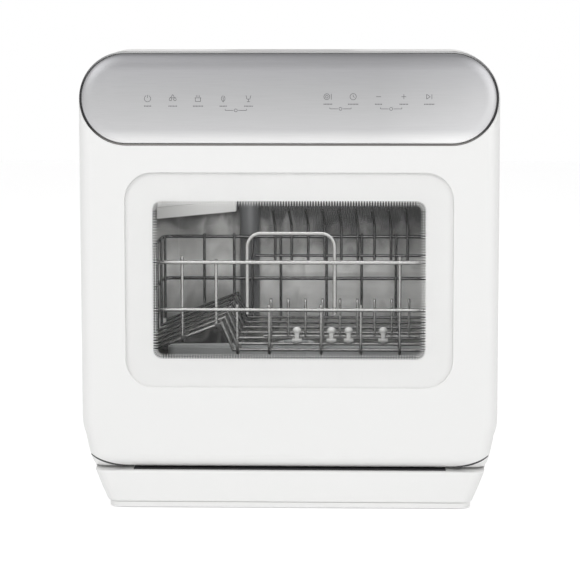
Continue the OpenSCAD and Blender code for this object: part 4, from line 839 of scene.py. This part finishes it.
class PanelOperator(Operator):
    """Makes the crowned control panel and the thin ring round it"""
    bl_idname = "dishwasher.panel"
    bl_label = "Control panel"

    def execute(self, context):
        s = sizes()
        low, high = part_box("panel_trim")
        half = (high.z - low.z) / 2
        back = FACE + s.panel_crown + s.panel_roll_depth
        self.face(low, high, half, back)
        self.surround(low, high, half, back)
        return {"FINISHED"}

    def face(self, low, high, half, back):
        """A rolled edge of a quarter round, then a crown that flattens out and is level along its middle"""
        s = sizes()
        inset = s.trim_width + s.trim_gap
        turns = [math.radians(90 * k / 12) for k in range(13)]
        steps = [(s.panel_roll * (1 - math.cos(t)), s.panel_roll_depth * math.sin(t)) for t in turns]
        level = 3 * MM
        room = half - inset - s.panel_roll - level
        steps += [(s.panel_roll + room * share, s.panel_roll_depth + s.panel_crown * (2 - share) * share)
                  for share in (0.25, 0.5, 0.75, 1)]
        bm = bmesh.new()
        crowned(bm, low.x + inset, high.x - inset, low.z + inset, high.z - inset, half - inset - SKIN, steps, back)
        made = piece("panel_face", bm, "door", "aluminium_brushed_anodised", 60)
        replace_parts(made, "control_panel")

    def surround(self, low, high, half, back, proud=1.2 * MM):
        s = sizes()
        w = s.trim_width
        bm = bmesh.new()
        outer = rounded(bm, low.x, high.x, low.z, high.z, half - SKIN, 24)
        inner = rounded(bm, low.x + w, high.x - w, low.z + w, high.z - w, half - w - SKIN, 24)
        bmesh.ops.solidify(bm, geom=ring(bm, outer, inner), thickness=s.trim_depth)
        bmesh.ops.recalc_face_normals(bm, faces=bm.faces)
        front = min(v.co.y for v in bm.verts)
        bmesh.ops.translate(bm, vec=(0, back - proud - front, 0), verts=bm.verts)
        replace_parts(piece("panel_ring", bm, "door", "zinc_smoked_chrome", 40), "panel_trim")


class PrintOperator(Operator):
    """Makes the white print behind the front glass, with its border of dots"""
    bl_idname = "dishwasher.glass_print"
    bl_label = "Glass print"

    # each row's distance inside the print's edge and its dots' radius, in millimetres
    ROWS = ((0.8, 0.86), (2.7, 0.66), (4.4, 0.42))

    def execute(self, context):
        s = sizes()
        low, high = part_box("door_glass")
        view = (low.x + s.print_side, high.x - s.print_side, low.z + s.print_top, high.z - s.print_top)
        edge = 3 * SKIN
        bm = bmesh.new()
        outer = rounded(bm, low.x + edge, high.x - edge, low.z + edge, high.z - edge, s.glass_radius)
        ring(bm, outer, rounded(bm, *view, s.view_radius))
        for inward, radius in self.ROWS:
            self.dots(bm, *view, inward * MM, radius * MM)
        bmesh.ops.translate(bm, vec=(0, high.y + 0.08 * MM, 0), verts=bm.verts)
        piece("glass_print", bm, "door", "ceramic_frit_fired_white")
        return {"FINISHED"}

    def dots(self, bm, x0, x1, z0, z1, inward, radius):
        """One row of dots along the clear view, a set distance inside its edge"""
        s = sizes()
        path = bmesh.new()
        corner = max(s.view_radius - inward, 0.5 * MM)
        face = rounded(path, x0 + inward, x1 - inward, z0 + inward, z1 - inward, corner, 6)
        for loop in face.loops:
            a, b = loop.vert.co, loop.link_loop_next.vert.co
            count = max(1, round((b - a).length / s.dot_pitch))
            for k in range(count):
                place = Matrix.Translation(a.lerp(b, k / count)) @ Matrix.Rotation(math.radians(90), 4, "X")
                bmesh.ops.create_circle(bm, cap_ends=True, segments=6, radius=radius, matrix=place)
        path.free()


# The printed marks are strokes, in millimetres from each mark's middle. Four numbers are a bar's two ends; six are an
# arc's centre, radius, start and end in degrees and number of parts.

def drop(x, z):
    return (x, z, 1.3, 135, 405, 8), (x - 0.9, z + 0.9, x, z + 2.2), (x + 0.9, z + 0.9, x, z + 2.2)


def brace(w):
    return (-w, 0, -2.4, 0), (2.4, 0, w, 0), (-w, 0, -w, 1.4), (w, 0, w, 1.4), (0, 0, 1.5, 0, 360, 10)


MARKS = {
    "power": ((0, 0, 3.2, 115, 425, 14), (0, 0.6, 0, 3.6)),
    "drops": (*drop(-2.2, -0.8), *drop(2.2, -0.8), *drop(0, 1.8)),
    "pot": ((-3.2, 0.8, 3.2, 0.8), (-2.6, 0.8, -2.6, -2.8), (2.6, 0.8, 2.6, -2.8), (-2.6, -2.8, 2.6, -2.8),
            (-1.5, 1.8, -1.5, 3.2), (0, 1.8, 0, 3.2), (1.5, 1.8, 1.5, 3.2)),
    "leaf": ((-1.6, 0, 3.4, -55, 55, 8), (1.6, 0, 3.4, 125, 235, 8), (0, -3.6, 0, 1.6)),
    "cup": ((-2.4, 3.2, -1.5, -0.4), (2.4, 3.2, 1.5, -0.4), (-1.5, -0.4, 1.5, -0.4), (0, -0.4, 0, -3.0),
            (-1.6, -3.0, 1.6, -3.0)),
    "plates": ((-1.0, 0, 2.9, 0, 360, 14), (-1.0, 0, 1.4, 0, 360, 10), (3.4, -2.9, 3.4, 2.9)),
    "clock": ((0, 0, 3.1, 0, 360, 14), (0, 0, 0, 2.0), (0, 0, 1.5, -0.6)),
    "minus": ((-2.4, 0, 2.4, 0),),
    "plus": ((-2.4, 0, 2.4, 0), (0, -2.4, 0, 2.4)),
    "play": ((-2.6, -2.4, -2.6, 2.4), (-2.6, 2.4, 1.0, 0), (-2.6, -2.4, 1.0, 0), (2.6, -2.4, 2.6, 2.4)),
}


class MarksOperator(Operator):
    """Prints plain marks of our own on the control panel"""
    bl_idname = "dishwasher.marks"
    bl_label = "Panel marks"

    def execute(self, context):
        s = sizes()
        low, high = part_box("panel_trim")
        middle = (low.z + high.z) / 2
        bm = bmesh.new()
        # a group's first place and its height; its marks with their number of dashes; its braces, by how many marks
        # along they stand, and their height
        for left, z, marks, braces, brace_z in (
            (s.marks_left, middle, (("power", 5), ("drops", 6), ("pot", 7), ("leaf", 5), ("cup", 6)),
             (3.5,), middle - 11.6 * MM),
            (s.marks_right, middle + 2 * MM, (("plates", 6), ("clock", 7), ("minus", 5), ("plus", 6), ("play", 7)),
             (0.5, 2.5), middle - 10 * MM),
        ):
            for k, (mark, dashes) in enumerate(marks):
                self.strokes(bm, MARKS[mark], left + k * s.mark_pitch, z)
                self.dashes(bm, left + k * s.mark_pitch, z - s.mark_drop, dashes)
            for k in braces:
                self.strokes(bm, brace(0.42 * s.mark_pitch / MM), left + k * s.mark_pitch, brace_z)
        self.lay(bm, low.y)
        piece("panel_marks", bm, "door", "epoxy_ink_printed_grey")
        return {"FINISHED"}

    def lay(self, bm, front):
        """Drops everything from in front onto the panel's crown"""
        skin = bmesh.new()
        skin.from_mesh(bpy.data.objects["panel_face"].data)
        crown = BVHTree.FromBMesh(skin)
        skin.free()
        for vert in bm.verts:
            hit = crown.ray_cast(Vector((vert.co.x, front - 50 * MM, vert.co.z)), Vector((0, 1, 0)))[0]
            if hit is None:
                raise RuntimeError("a mark lies outside the control panel")
            vert.co.y = hit.y - 0.8 * SKIN

    def dashes(self, bm, x, z, count):
        """A row of short dashes where a label would stand"""
        s = sizes()
        for k in range(count):
            at = x + (k + 0.5 - count / 2) * s.dash_pitch
            self.bar(bm, at - s.dash_size / 2, z, at + s.dash_size / 2, z, s.dash_size)

    def strokes(self, bm, strokes, x, z):
        for stroke in strokes:
            if len(stroke) == 4:
                points = [stroke[:2], stroke[2:]]
            else:
                across, up, radius, start, end, parts = stroke
                turns = [math.radians(start + (end - start) * k / parts) for k in range(parts + 1)]
                points = [(across + radius * math.cos(t), up + radius * math.sin(t)) for t in turns]
            for (x0, z0), (x1, z1) in zip(points, points[1:]):
                self.bar(bm, x + x0 * MM, z + z0 * MM, x + x1 * MM, z + z1 * MM, sizes().stroke)

    def bar(self, bm, x0, z0, x1, z1, width):
        """A straight stroke between two points"""
        reach = Vector((x1 - x0, 0, z1 - z0))
        turn = Matrix.Rotation(-math.atan2(reach.z, reach.x), 4, "Y")
        size = Matrix.Diagonal((max(reach.length, width), 1, width, 1))
        place = Matrix.Translation(((x0 + x1) / 2, 0, (z0 + z1) / 2)) @ turn @ size
        bmesh.ops.create_grid(bm, x_segments=1, y_segments=1, size=0.5,
                              matrix=place @ Matrix.Rotation(math.radians(90), 4, "X"))


class DishwasherPanel(Panel):
    """Buttons for the dishwasher's pieces"""
    bl_idname = "DISHWASHER_PT_pieces"
    bl_label = "Dishwasher"
    bl_space_type = "VIEW_3D"
    bl_region_type = "UI"
    bl_category = "Dishwasher"

    def draw(self, context):
        for operator in OPERATORS:
            self.layout.operator(operator.bl_idname)
        for name in DishwasherSizes.__annotations__:
            self.layout.prop(sizes(), name)


OPERATORS = (StageOperator, FinishesOperator, PlinthOperator, ToeOperator, ClipsOperator, PanelOperator,
             PrintOperator, MarksOperator)
CLASSES = (DishwasherSizes, *OPERATORS, DishwasherPanel)


def register():
    for made in CLASSES:
        bpy.utils.register_class(made)
    bpy.types.Scene.dishwasher = PointerProperty(type=DishwasherSizes)


def unregister():
    del bpy.types.Scene.dishwasher
    for made in reversed(CLASSES):
        bpy.utils.unregister_class(made)


def main():
    register()
    for operator in OPERATORS:
        group, name = operator.bl_idname.split(".")
        getattr(getattr(bpy.ops, group), name)()


if __name__ == "__main__":
    main()
